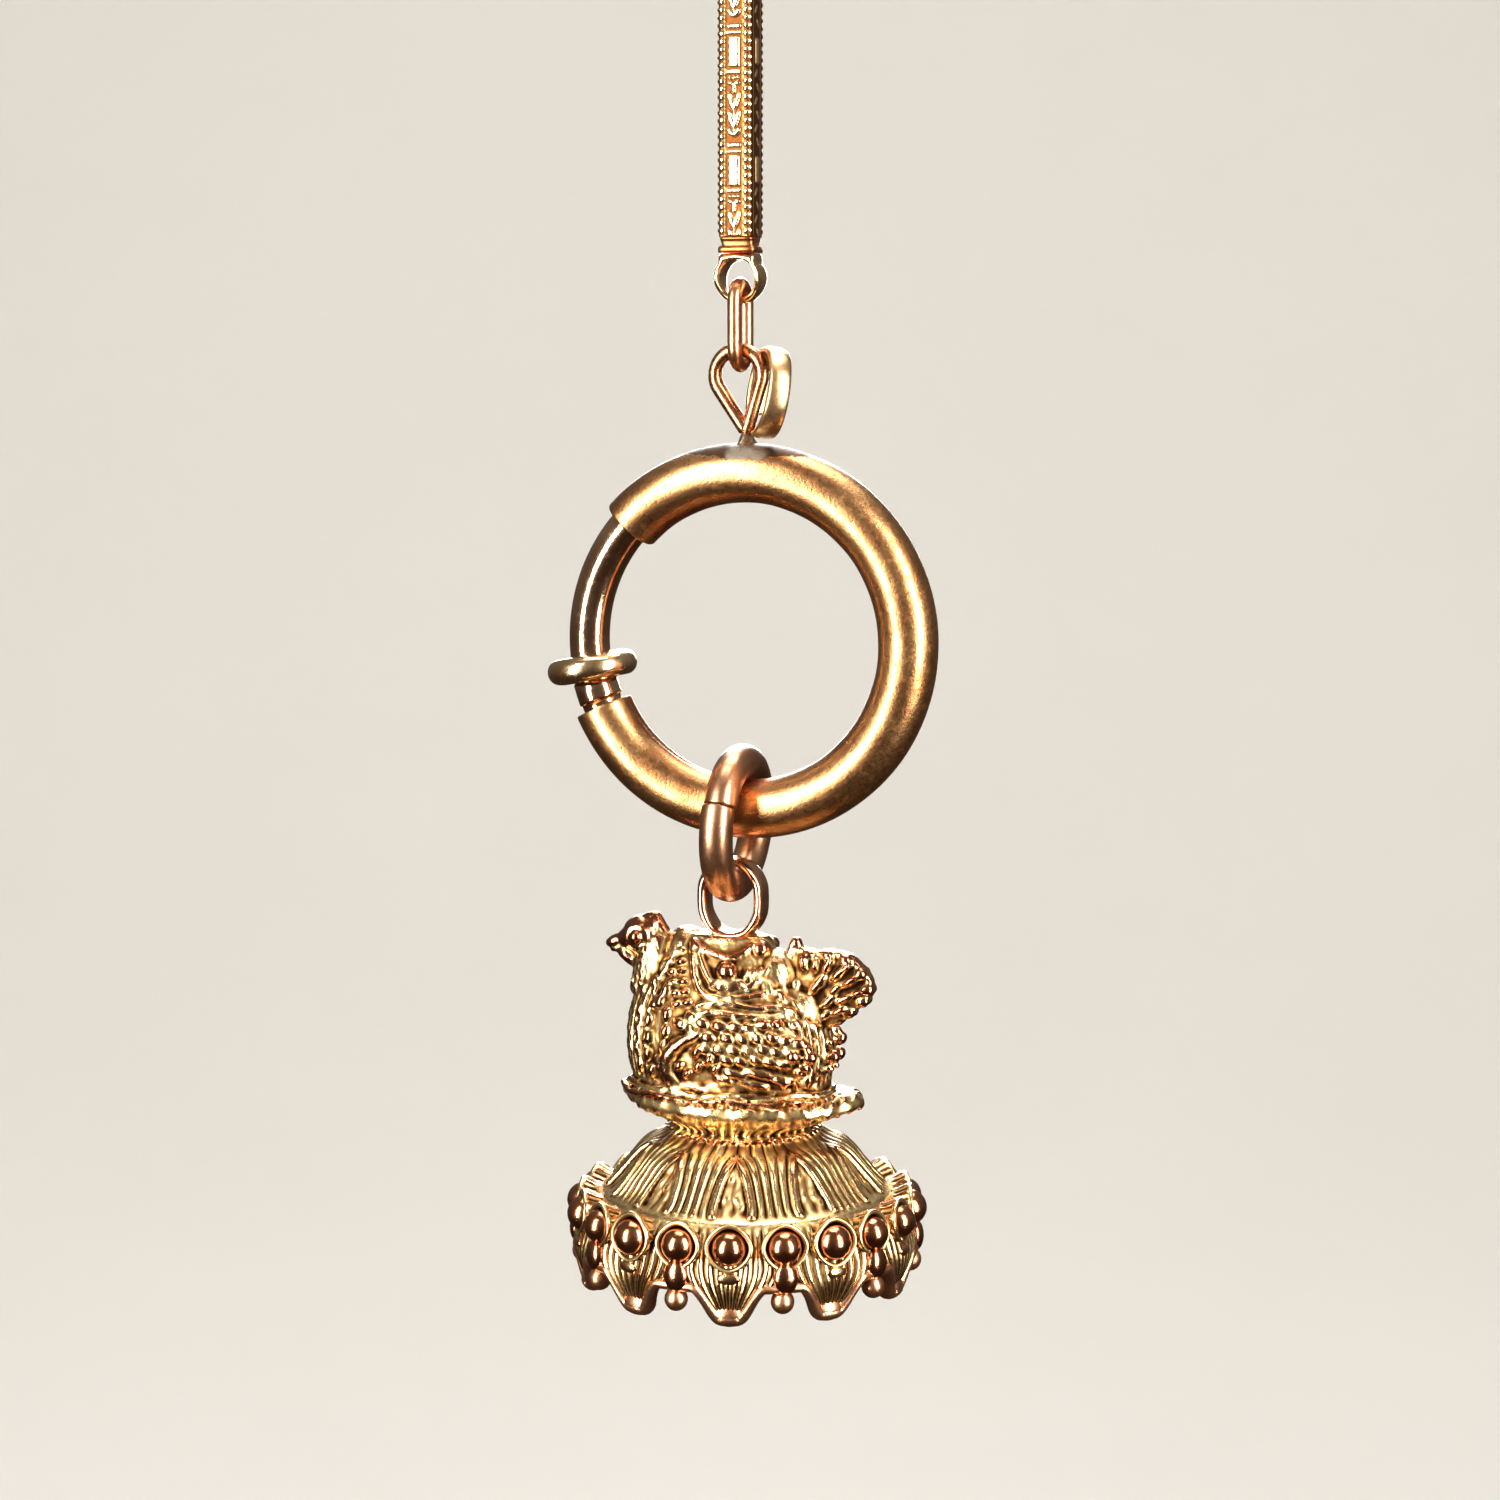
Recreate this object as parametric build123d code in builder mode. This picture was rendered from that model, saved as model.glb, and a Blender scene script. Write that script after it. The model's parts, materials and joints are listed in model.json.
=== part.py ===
from build123d import *
from math import atan2, cos, degrees, hypot, pi, radians, sin, sqrt
import os

# Fob seal hanging from the last bar of a watch chain. Lengths in millimetres.
# The origin is the centre of the hole in the bar's top loop, where it all hangs.
# +X is to the right, +Y runs away from the front, +Z is up.

# Chain bar, a box section with a loop at each end
bar_length = 22.9
bar_width = 1.85
bar_depth = 2.0
bar_periods = 4
bar_relief = 0.07
bar_edge = 0.3
step_height = 0.55
step_width = 2.0
step_depth = 1.7
loop_radius = 1.25
loop_hole_radius = 0.92
loop_drop = 1.45
loop_depth = 1.5
loop_foot_depth = 0.8

# Small link between the bar and the bolt ring
link_wire = 0.7
link_length = 4.7
link_width = 2.6
link_seat_gap = 0.31

# Bolt ring
ring_outer = 19.9
tube_diameter = 3.0
tube_wall = 0.32
upper_mouth = 136.7
lower_mouth = 204.5
ring_shift = 0.3

# Eyes soldered on the bolt ring
eye_wire = 0.72
eye_radius = 1.24
eye_shift = -0.1
eye_foot_shift = 0.32
eye_leg = 2.85
solder_height = 0.5
side_eye_outer = 4.6
side_eye_band = 1.15
side_eye_thickness = 0.45
side_eye_turn = 33.0
side_eye_lean = 9.0
side_eye_shift = 1.45
side_eye_drop = 0.35
side_eye_tuck = 8.0
side_eye_arc = 310.0
solder_radius = 0.62

# Bolt
bolt_diameter = 2.06
bolt_tip_angle = 207.0
bolt_hidden_angle = 92.0
collar_angle = 190.3
collar_outer = 4.65
collar_wire = 1.34
sleeve_diameter = 2.26
sleeve_start = 194.5
sleeve_end = 202.0

# Jump ring, which leans a little to the left as it hangs
jump_outer = 8.05
jump_wire = 1.7
jump_lean = 3.7
jump_shift = -0.35
jump_seam = 0.06
jump_seam_rise = 20.0

# Running gap between pieces that hang on each other
seat_gap = 0.06

# Seal bail
bail_width = 3.7
bail_height = 4.3
bail_wall = 0.42
bail_depth = 1.6

# Hen, from the bail's top to the plate's top, and its place beside the bail
hen_height = 12.0
hen_length = 10.6
hen_width = 6.7
hen_shift = 0.42
head_radius = 1.12
tail_thickness = 1.3

# Leaf plate under the hen
plate_length = 12.5
plate_width = 8.4
plate_thickness = 1.7

# Base of the seal, and its place beside the bail
base_shift = 0.68
base_height = 8.3
base_radius = 9.0
neck_radius = 3.65
flutes = 40
scallops = 10
scallop_phase = 13.0
petal_rise = 0.16
bead_radius = 0.85
bead_collar_radius = 1.15
bead_collar_height = 0.55
rim_wall = 0.8
rim_depth = 2.75
arch_height = 2.0
arch_share = 0.56
drop_radius = 0.6

# Blank seal face inside the rim
face_thickness = 0.8
face_gap = 0.06

# Places that follow from the sizes
tube_radius = tube_diameter / 2
ring_radius = (ring_outer - tube_diameter) / 2
bore_radius = tube_radius - tube_wall
loop_span = bar_length + 2 * (step_height + loop_drop)
loop_floor = -loop_span - loop_hole_radius
link_inner_top = loop_floor + link_seat_gap
link_middle = link_inner_top + link_wire - link_length / 2
link_inner_floor = link_inner_top - (link_length - 2 * link_wire)
eye_top = link_inner_floor + seat_gap + eye_wire
eye_middle = eye_top - eye_wire / 2 - eye_radius
eye_foot = eye_middle - eye_leg
ring_top = eye_foot - solder_height
ring_z = ring_top - ring_outer / 2
jump_radius = (jump_outer - jump_wire) / 2
jump_inner = jump_radius - jump_wire / 2
tube_bottom_z = ring_z - ring_radius
jump_top_z = tube_bottom_z + tube_radius + seat_gap
lean = radians(jump_lean)
jump_middle = (
    ring_shift + jump_shift - jump_inner * sin(lean),
    jump_top_z - jump_inner * cos(lean),
)
jump_foot = (
    jump_middle[0] - jump_radius * sin(lean),
    jump_middle[1] - jump_radius * cos(lean),
)
bail_half = bail_depth / 2
wire_rise = jump_inner - sqrt(jump_inner**2 - bail_half**2)
bail_x = jump_foot[0]
bail_top = jump_foot[1] + jump_wire / 2 + wire_rise + seat_gap + bail_wall
plate_z = bail_top - hen_height
base_top = plate_z - plate_thickness
hen_x = bail_x + hen_shift
base_x = bail_x + base_shift


def on_ring(angle):
    """Point on the centre line of the bolt ring's tube, with its tangent, at an angle from +X."""
    turn = radians(angle)
    point = (ring_shift + ring_radius * cos(turn), 0, ring_z + ring_radius * sin(turn))
    tangent = (-sin(turn), 0, cos(turn))
    return Plane(origin=point, x_dir=(0, 1, 0), z_dir=tangent)


def section_plane(middle, outward, axis):
    """Plane for a section that turns about an axis: its x points outward, its y along the axis."""
    outward = Vector(*outward)
    return Plane(origin=middle, x_dir=outward, z_dir=outward.cross(Vector(*axis)))


ring_axis = Axis((ring_shift, 0, ring_z), (0, -1, 0))

# Chain bar
half_bar = bar_length / 2
bar_middle = -loop_drop - step_height - half_bar
period = bar_length / bar_periods
relief_middle = bar_depth / 2 - bar_relief
panel_marks = [
    # height above the period's lower end, width and height, as shares of the period
    (0.300, 0.115, 0.165),
    (0.155, 0.125, 0.050),
    (0.085, 0.125, 0.030),
    (0.445, 0.125, 0.040),
    (0.500, 0.125, 0.030),
]
leaf_tiers = [0.62, 0.74, 0.86]
leaf_spread = 0.038
leaf_width = 0.030
leaf_length = 0.130
leaf_turn = 28
side_panels = [0.30, 0.78]

with BuildPart() as chain_bar:
    with BuildSketch(Plane.XY.offset(bar_middle - half_bar)):
        RectangleRounded(bar_width, bar_depth - 2 * bar_relief, 0.12)
    extrude(amount=bar_length)
    for face_turn in (0, 180):
        face_plane = Plane.XZ.rotated((0, 0, face_turn)).offset(relief_middle)
        with BuildSketch(face_plane):
            for side in (-1, 1):
                with Locations((side * (bar_width - bar_edge) / 2, bar_middle)):
                    Rectangle(bar_edge, bar_length * 0.995)
            for step in range(bar_periods):
                low = bar_middle - half_bar + step * period
                for height, wide, tall in panel_marks:
                    with Locations((0, low + height * period)):
                        Rectangle(wide * period, tall * period)
                for tier in leaf_tiers:
                    for side in (-1, 1):
                        with Locations((side * leaf_spread * period, low + tier * period)):
                            Rectangle(leaf_width * period, leaf_length * period, rotation=-side * leaf_turn)
        extrude(amount=bar_relief * 2, both=True)
    for side_turn in (90, 270):
        side_plane = Plane.XZ.rotated((0, 0, side_turn)).offset(bar_width / 2 - bar_relief)
        with BuildSketch(side_plane):
            for step in range(bar_periods):
                low = bar_middle - half_bar + step * period
                with Locations(*[(0, low + height * period) for height in side_panels]):
                    RectangleRounded(bar_depth * 0.4, 0.36 * period, 0.1)
        extrude(amount=bar_relief * 2)
    with BuildSketch(Plane.XY.offset(bar_middle - half_bar - step_height)):
        Rectangle(step_width, step_depth)
    extrude(amount=bar_length + 2 * step_height)
    for end in (0, 1):
        loop_z = -loop_span * end
        up = 1 if end else -1
        with BuildPart(mode=Mode.PRIVATE) as loop:
            with BuildSketch(Plane.XZ.offset(-loop_depth / 2)):
                with Locations((0, loop_z)):
                    Circle(loop_radius)
                with Locations((0, loop_z + up * loop_drop / 2)):
                    Rectangle(step_width, loop_drop)
                with Locations((0, loop_z)):
                    Circle(loop_hole_radius, mode=Mode.SUBTRACT)
            extrude(amount=loop_depth)
            with BuildSketch(Plane.YZ.offset(-loop_radius * 1.5)):
                with BuildLine():
                    Polyline(
                        (-loop_foot_depth / 2, loop_z - up * loop_radius * 1.1),
                        (loop_foot_depth / 2, loop_z - up * loop_radius * 1.1),
                        (loop_depth / 2, loop_z + up * loop_radius * 0.5),
                        (loop_depth / 2, loop_z + up * loop_drop * 1.2),
                        (-loop_depth / 2, loop_z + up * loop_drop * 1.2),
                        (-loop_depth / 2, loop_z + up * loop_radius * 0.5),
                        close=True,
                    )
                make_face()
            extrude(amount=loop_radius * 3, mode=Mode.INTERSECT)
        add(loop.part)
chain_bar.part.label = "chain_bar"

# Small link
link_bend = (link_width - link_wire) / 2
link_straight = link_length - link_width
with BuildPart() as bar_link:
    with BuildLine() as link_path:
        link_up = link_middle + link_straight / 2
        link_down = link_middle - link_straight / 2
        front_strand = Line((0, -link_bend, link_down), (0, -link_bend, link_up))
        ThreePointArc((0, -link_bend, link_up), (0, 0, link_up + link_bend), (0, link_bend, link_up))
        Line((0, link_bend, link_up), (0, link_bend, link_down))
        ThreePointArc(
            (0, link_bend, link_down), (0, 0, link_down - link_bend), (0, -link_bend, link_down)
        )
    with BuildSketch(Plane(origin=front_strand @ 0, z_dir=front_strand % 0)):
        Circle(link_wire / 2)
    sweep()
bar_link.part.label = "bar_link"

# Bolt ring with its eyes
body_sweep = 360 - (lower_mouth - upper_mouth)
side_outer = side_eye_outer / 2
side_turn = radians(side_eye_turn)
side_lean = radians(side_eye_lean)
side_middle = (side_eye_shift, 0, eye_foot - side_eye_drop + side_outer)
side_down = (-sin(side_lean) * cos(side_turn), -sin(side_lean) * sin(side_turn), -cos(side_lean))
side_normal = (-cos(side_lean) * cos(side_turn), -cos(side_lean) * sin(side_turn), sin(side_lean))
side_axis = Axis(side_middle, side_normal)
side_tuck = Vector(*side_down).rotate(Axis((0, 0, 0), side_normal), -side_eye_tuck)
with BuildPart() as bolt_ring:
    with BuildSketch(on_ring(lower_mouth)):
        Circle(tube_radius)
        Circle(bore_radius, mode=Mode.SUBTRACT)
    revolve(axis=ring_axis, revolution_arc=body_sweep)
    foot_x = eye_foot_shift
    foot_dx = foot_x - eye_shift
    foot_dz = eye_foot - eye_middle
    foot_reach = hypot(foot_dx, foot_dz)
    foot_turn = degrees(atan2(foot_dz, foot_dx))
    half_open = degrees(pi / 2 - atan2(eye_radius, sqrt(foot_reach**2 - eye_radius**2)))
    start_turn = foot_turn + half_open
    end_turn = foot_turn - half_open + 360
    start_point = (
        eye_shift + eye_radius * cos(radians(start_turn)),
        0,
        eye_middle + eye_radius * sin(radians(start_turn)),
    )
    end_point = (
        eye_shift + eye_radius * cos(radians(end_turn)),
        0,
        eye_middle + eye_radius * sin(radians(end_turn)),
    )
    foot_point = (foot_x, 0, eye_foot)
    with BuildLine() as eye_path:
        first_leg = Line(foot_point, start_point)
        ThreePointArc(
            start_point,
            (
                eye_shift - eye_radius * cos(radians(foot_turn)),
                0,
                eye_middle - eye_radius * sin(radians(foot_turn)),
            ),
            end_point,
        )
        Line(end_point, foot_point)
    with BuildSketch(Plane(origin=first_leg @ 0, z_dir=first_leg % 0)):
        Circle(eye_wire / 2)
    sweep(path=eye_path.wires()[0], transition=Transition.ROUND)
    with BuildSketch(section_plane(side_middle, tuple(side_tuck), side_normal)):
        with Locations((side_outer - side_eye_thickness / 2, 0)):
            RectangleRounded(side_eye_thickness, side_eye_band, side_eye_thickness * 0.4)
    revolve(axis=side_axis, revolution_arc=side_eye_arc)
    with Locations((foot_x + solder_radius * 0.6, 0, eye_foot - side_eye_drop * 0.4)):
        Sphere(solder_radius * 0.6)
    with BuildSketch(Plane.XZ):
        with BuildLine():
            Polyline(
                (foot_x, eye_foot + 0.35),
                (foot_x + solder_radius * 0.7, eye_foot - 0.05),
                (foot_x + solder_radius * 1.3, ring_top - 0.2),
                (foot_x, ring_top - 0.25),
                close=True,
            )
        make_face()
    revolve(axis=Axis((foot_x, 0, 0), (0, 0, 1)))
bolt_ring.part.label = "bolt_ring"

# Bolt
with BuildPart() as bolt:
    with BuildSketch(on_ring(bolt_hidden_angle)):
        Circle(bolt_diameter / 2)
    revolve(axis=ring_axis, revolution_arc=bolt_tip_angle - bolt_hidden_angle)
    with BuildSketch(on_ring(sleeve_start)):
        Circle(sleeve_diameter / 2)
    revolve(axis=ring_axis, revolution_arc=sleeve_end - sleeve_start)
    collar_plane = on_ring(collar_angle)
    collar_middle = (collar_outer - collar_wire) / 2
    collar_inner = bolt_diameter * 0.4
    with BuildSketch(section_plane(collar_plane.origin, (0, 1, 0), tuple(collar_plane.z_dir))):
        with Locations((collar_middle, 0)):
            Circle(collar_wire / 2)
        with Locations(((collar_inner + collar_middle) / 2, 0)):
            Rectangle(collar_middle - collar_inner, collar_wire * 0.6)
    revolve(axis=Axis(collar_plane.origin, collar_plane.z_dir))
bolt.part.label = "bolt"

# Jump ring, open at its butt seam on the front strand
jump_axis = (cos(lean), 0, -sin(lean))
seam_half = jump_seam / jump_radius / 2
seam_start = radians(jump_seam_rise) - seam_half
seam_edge = (sin(lean) * sin(seam_start), -cos(seam_start), cos(lean) * sin(seam_start))
jump_centre = (jump_middle[0], 0, jump_middle[1])
with BuildPart() as jump_ring:
    with BuildSketch(section_plane(jump_centre, seam_edge, jump_axis)):
        with Locations((jump_radius, 0)):
            Circle(jump_wire / 2)
    revolve(axis=Axis(jump_centre, jump_axis), revolution_arc=360 - degrees(2 * seam_half))
jump_ring.part.label = "jump_ring"

# Hen's body, by height above the plate, with half sizes, all as shares of the hen's sizes
body_sections = [
    # height, centre, half length, half width
    (0.000, -0.038, 0.462, 0.433),
    (0.120, -0.042, 0.495, 0.492),
    (0.228, -0.042, 0.500, 0.500),
    (0.360, -0.057, 0.462, 0.448),
    (0.478, -0.094, 0.377, 0.358),
    (0.595, -0.085, 0.292, 0.261),
    (0.670, -0.066, 0.236, 0.194),
]


def body_at(height):
    """Centre, half length and half width of the body at a height, between the sections."""
    for low, high in zip(body_sections, body_sections[1:]):
        if height <= high[0]:
            share = (height - low[0]) / (high[0] - low[0])
            return [a + share * (b - a) for a, b in zip(low, high)][1:]
    return body_sections[-1][1:]


def hen_point(along, height, across=0.0):
    """Point of the hen from shares of its length, height and width."""
    return (hen_x + along * hen_length, across * hen_width, plate_z + height * hen_height)


def body_point(height, turn):
    """Point on the body's surface at a height and an angle round it, from the tail end."""
    centre, half_length, half_width = body_at(height)
    across = half_width * sin(radians(turn))
    return hen_point(centre + half_length * cos(radians(turn)), height, across)


def along_body(height, along, side):
    """Point on the body's side at a height and a place along it."""
    centre, half_length, half_width = body_at(height)
    reach = min(abs(along - centre) / half_length, 0.98)
    return hen_point(along, height, side * half_width * sqrt(1 - reach**2))


def aimed(point, direction):
    """Place whose z axis points in a direction."""
    return Plane(origin=point, z_dir=direction).location


def feather(half_width, half_length):
    """A rounded feather, an ellipse turned about z, with its half sizes as shares of the hen's length."""
    with BuildPart(mode=Mode.PRIVATE) as shape:
        with BuildSketch(Plane.XZ):
            with BuildLine():
                EllipticalCenterArc(
                    (0, 0), half_width * hen_length, half_length * hen_length, -90, arc_size=180
                )
                Line((0, half_length * hen_length), (0, -half_length * hen_length))
            make_face()
        revolve(axis=Axis.Z)
    return shape.part


breast_feather = feather(0.030, 0.072)
wing_scale = feather(0.034, 0.050)
wing_quill = feather(0.034, 0.105)
tail_feather = feather(0.056, 0.165)
rump_bead = feather(0.040, 0.044)

# Tail feathers, by angle above the horizontal and reach from the root as a share of the length
tail_feathers = [
    # angle, reach
    (97, 0.318),
    (70, 0.302),
    (49, 0.360),
    (31, 0.387),
    (14, 0.387),
    (-8, 0.260),
]
tail_root = hen_point(0.300, 0.370)

# Rounded forms on the hen, on both sides where they stand off the middle
rounded_forms = [
    # name, along, height, across, then half length, half width and half height as shares of length
    ("neck", -0.385, 0.470, 0.0, 0.135, 0.130, 0.235),
    ("nape", -0.445, 0.570, 0.0, 0.100, 0.098, 0.130),
    ("comb", -0.484, 0.735, 0.0, 0.100, 0.040, 0.058),
    ("wattle", -0.572, 0.553, 0.0, 0.062, 0.034, 0.036),
    ("rump", 0.330, 0.400, 0.0, 0.130, 0.120, 0.150),
    ("wing", 0.080, 0.195, 0.400, 0.330, 0.085, 0.150),
    ("shoulder", -0.200, 0.160, 0.420, 0.052, 0.060, 0.100),
    ("nestling", 0.005, 0.524, 0.230, 0.105, 0.080, 0.088),
    ("nestling_head", 0.137, 0.632, 0.120, 0.050, 0.050, 0.050),
]


def rounded_form(along, height, across, half_length, half_width, half_height):
    """Ellipsoid on the hen, made by stretching a ball."""
    ball = scale(Sphere(1), by=tuple(hen_length * half for half in (half_length, half_width, half_height)))
    return ball.moved(Location(hen_point(along, height, across)))


rounded_solids = []
for name, along, height, across, half_length, half_width, half_height in rounded_forms:
    for side in (-1, 1) if across else (1,):
        rounded_solids.append(
            rounded_form(along, height, side * across, half_length, half_width, half_height)
        )

# Base sections from the plate down, as shares of the base's height and radius
base_sections = [
    # depth, radius, rib depth
    (0.000, neck_radius / base_radius, 0.000),
    (0.108, 0.556, 0.016),
    (0.241, 0.667, 0.030),
    (0.340, 0.735, 0.030),
    (0.430, 0.850, 0.020),
    (0.518, 0.925, 0.008),
    (0.602, 0.972, 0.014),
    (0.723, 1.000, 0.018),
    (0.867, 0.956, 0.014),
    (1.000, 0.889, 0.000),
]


def base_radius_at(depth):
    """Radius of the base at a share of its height, between the sections."""
    for low, high in zip(base_sections, base_sections[1:]):
        if depth <= high[0]:
            share = (depth - low[0]) / (high[0] - low[0])
            return base_radius * (low[1] + share * (high[1] - low[1]))
    return base_radius * base_sections[-1][1]


def base_outline(depth, radius, rib_depth):
    """Corners of one section of the base, a crest and a furrow for each flute."""
    corners = []
    arch = min(max((depth - 0.22) / 0.25, 0), 1) * 0.42 * 360 / scallops
    raised = petal_rise if 0.2 < depth < 0.5 else 0
    for number in range(2 * flutes):
        turn = number * 180 / flutes
        from_petal = (turn + 180 / scallops) % (360 / scallops) - 180 / scallops
        out = base_radius * (radius - (rib_depth if number % 2 else 0))
        if abs(from_petal) < arch:
            out += raised
        angle = radians(turn + scallop_phase - 90)
        corners.append((out * cos(angle), out * sin(angle)))
    return corners


def around_base(turn, radius, depth):
    """Point round the base's axis, at an angle from the front towards the right."""
    angle = radians(turn - 90)
    z = base_top - depth * base_height
    return (base_x + radius * cos(angle), radius * sin(angle), z)


rim_z = base_top - base_height
face_seat = rim_z + rim_depth
bead_depth = 0.518
arch_depth = 1 - arch_height / base_height

# Base of the seal
with BuildPart() as base_form:
    for depth, radius, rib_depth in base_sections:
        with BuildSketch(Plane((base_x, 0, base_top - depth * base_height))):
            Polygon(*base_outline(depth, radius, rib_depth), align=None)
    loft(ruled=True)
    rim_radius = base_radius_at(1.0) - rim_wall
    belly_radius = base_radius_at(0.75) - rim_wall
    seat_radius = base_radius_at(1 - rim_depth / base_height) - rim_wall
    with BuildSketch(Plane.XZ):
        with BuildLine():
            Polyline(
                (base_x, rim_z - 1),
                (base_x + rim_radius, rim_z - 1),
                (base_x + rim_radius, rim_z),
                (base_x + belly_radius, rim_z + base_height * 0.25),
                (base_x + seat_radius, face_seat),
                (base_x, face_seat),
                close=True,
            )
        make_face()
    revolve(axis=Axis((base_x, 0, 0), (0, 0, 1)), mode=Mode.SUBTRACT)
    arch_width = 2 * pi * base_radius / scallops * arch_share
    for number in range(scallops):
        turn = scallop_phase + (number + 0.5) * 360 / scallops
        angle = radians(turn - 90)
        arch_plane = Plane(
            origin=(base_x, 0, rim_z),
            x_dir=(-sin(angle), cos(angle), 0),
            z_dir=(cos(angle), sin(angle), 0),
        )
        with BuildSketch(arch_plane.offset(base_radius * 0.6)):
            with BuildLine():
                Line((-arch_width / 2, -1), (arch_width / 2, -1))
                Line((arch_width / 2, -1), (arch_width / 2, 0))
                ThreePointArc((arch_width / 2, 0), (0, arch_height), (-arch_width / 2, 0))
                Line((-arch_width / 2, 0), (-arch_width / 2, -1))
            make_face()
        extrude(amount=base_radius, mode=Mode.SUBTRACT)
    drop_points = [
        around_base(
            scallop_phase + (number + 0.5) * 360 / scallops,
            base_radius_at(arch_depth) - rim_wall / 2,
            arch_depth + drop_radius * 0.6 / base_height,
        )
        for number in range(scallops)
    ]
    with Locations(*drop_points):
        Sphere(drop_radius)
    bead_places = []
    for number in range(2 * scallops):
        turn = scallop_phase + number * 180 / scallops
        angle = radians(turn - 90)
        outward = (cos(angle), sin(angle), 0.12)
        bead_places.append(aimed(around_base(turn, base_radius_at(bead_depth), bead_depth), outward))
    with BuildPart(mode=Mode.PRIVATE) as bead:
        with Locations((0, 0, bead_collar_height * 0.35)):
            Sphere(bead_radius)
        with BuildSketch():
            Circle(bead_collar_radius)
        extrude(amount=bead_collar_height, taper=12)
        with BuildSketch():
            Circle(bead_collar_radius)
        extrude(amount=-bead_collar_height)
    with Locations(*bead_places):
        add(bead.part)

# Hen on its plate, with the bail
plate_levels = [
    # depth as a share of the thickness, half length and half width as shares of the plate's
    (0.00, 0.84, 0.80),
    (0.30, 1.00, 1.00),
    (0.55, 0.98, 0.97),
    (0.85, 0.66, 0.88),
]
with BuildPart() as hen_form:
    for depth, length_share, width_share in plate_levels:
        with BuildSketch(Plane((hen_x + 0.02 * plate_length, 0, plate_z - depth * plate_thickness))):
            Ellipse(length_share * plate_length / 2, width_share * plate_width / 2)
    loft(ruled=True)
    for height, centre, half_length, half_width in body_sections:
        level = plate_z + height * hen_height - (0.05 if height == 0 else 0)
        with BuildSketch(Plane((hen_x + centre * hen_length, 0, level))):
            Ellipse(half_length * hen_length, half_width * hen_width)
    loft()
    add(rounded_solids)
    with Locations(hen_point(-0.494, 0.643)):
        Sphere(head_radius)
    beak_root = hen_point(-0.545, 0.640)
    beak_tip = hen_point(-0.700, 0.618)
    beak_length = hypot(beak_tip[0] - beak_root[0], beak_tip[2] - beak_root[2])
    beak_aim = tuple(Vector(*beak_tip) - Vector(*beak_root))
    with Locations(aimed(beak_root, beak_aim)):
        Cone(0.62, 0.10, beak_length, align=(Align.CENTER, Align.CENTER, Align.MIN))
    with BuildSketch(Plane.XZ.offset(-tail_thickness / 2)):
        with BuildLine():
            fan = [
                (
                    tail_root[0] + reach * 0.8 * hen_length * cos(radians(turn)),
                    tail_root[2] + reach * 0.8 * hen_length * sin(radians(turn)),
                )
                for turn, reach in tail_feathers
            ]
            Polyline((tail_root[0] - 0.1 * hen_length, tail_root[2] - 0.1 * hen_length), *fan, close=True)
        make_face()
    extrude(amount=tail_thickness)
    tail_places = []
    for turn, reach in tail_feathers:
        aim = (cos(radians(turn)), 0, sin(radians(turn)))
        middle = (reach - 0.165) * hen_length
        for side in (-1, 1):
            tail_places.append(
                aimed(
                    (
                        tail_root[0] + middle * aim[0],
                        side * tail_thickness * 0.36,
                        tail_root[2] + middle * aim[2],
                    ),
                    aim,
                )
            )
    with Locations(*tail_places):
        add(tail_feather)
    breast_places = []
    for column, turn in enumerate((180, 158, 202, 136, 224)):
        for row in range(4):
            height = 0.10 + 0.115 * row + (0.055 if column % 2 else 0)
            point = body_point(height, turn)
            above = body_point(height + 0.03, turn)
            breast_places.append(aimed(point, tuple(Vector(*above) - Vector(*point))))
    with Locations(*breast_places):
        add(breast_feather)
    scale_places = []
    quill_places = []
    for side in (-1, 1):
        for row in range(3):
            for number in range(5 - row):
                point = along_body(0.335 - 0.062 * row, -0.10 + 0.085 * number + 0.05 * row, side)
                scale_places.append(aimed(point, (1, 0, -0.45)))
        for number in range(4):
            point = along_body(0.155 - 0.018 * number, 0.02 + 0.10 * number, side)
            lifted = (point[0], point[1] + side * 0.05 * hen_length, point[2])
            quill_places.append(aimed(lifted, (1, 0, -0.30)))
    with Locations(*scale_places):
        add(wing_scale)
    with Locations(*quill_places):
        add(wing_quill)
    rump_places = [
        Location(along_body(0.21, along, side)) for along in (0.30, 0.37, 0.43) for side in (-1, 1)
    ]
    with Locations(*rump_places):
        add(rump_bead)
    bail_middle = bail_top - bail_height / 2
    bail_straight = bail_height - bail_width
    hole_width = bail_width - 2 * bail_wall
    with BuildSketch(Plane.XZ.offset(-bail_depth / 2)):
        with Locations((bail_x, bail_middle)):
            SlotCenterToCenter(bail_straight, bail_width, rotation=90)
    bail_band = extrude(amount=bail_depth, mode=Mode.PRIVATE)
    add(bail_band)
    with BuildSketch(Plane.XZ.offset(-bail_depth)):
        with Locations((bail_x, bail_middle)):
            SlotCenterToCenter(bail_straight, hole_width, rotation=90)
    extrude(amount=bail_depth * 2, mode=Mode.SUBTRACT)

# Seal, soldered together at its neck
with BuildPart() as seal:
    add(base_form.part)
    add(hen_form.part)
    with Locations((base_x, 0, base_top)):
        Cylinder(neck_radius * 0.94, plate_thickness * 0.8)
seal.part.label = "seal"

# Blank seal face
with BuildPart() as seal_face:
    with Locations((base_x, 0, face_seat - face_gap - face_thickness / 2)):
        Cylinder(belly_radius - face_gap * 4, face_thickness)
seal_face.part.label = "seal_face"

os.makedirs("parts", exist_ok=True)
for piece in (chain_bar, bar_link, bolt_ring, bolt, jump_ring, seal, seal_face):
    export_step(piece.part, "parts/" + piece.part.label + ".step")
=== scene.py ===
import json
from math import cos, pi, radians, sin

import bmesh
import bpy
import numpy as np
from mathutils import Matrix, Vector

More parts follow.
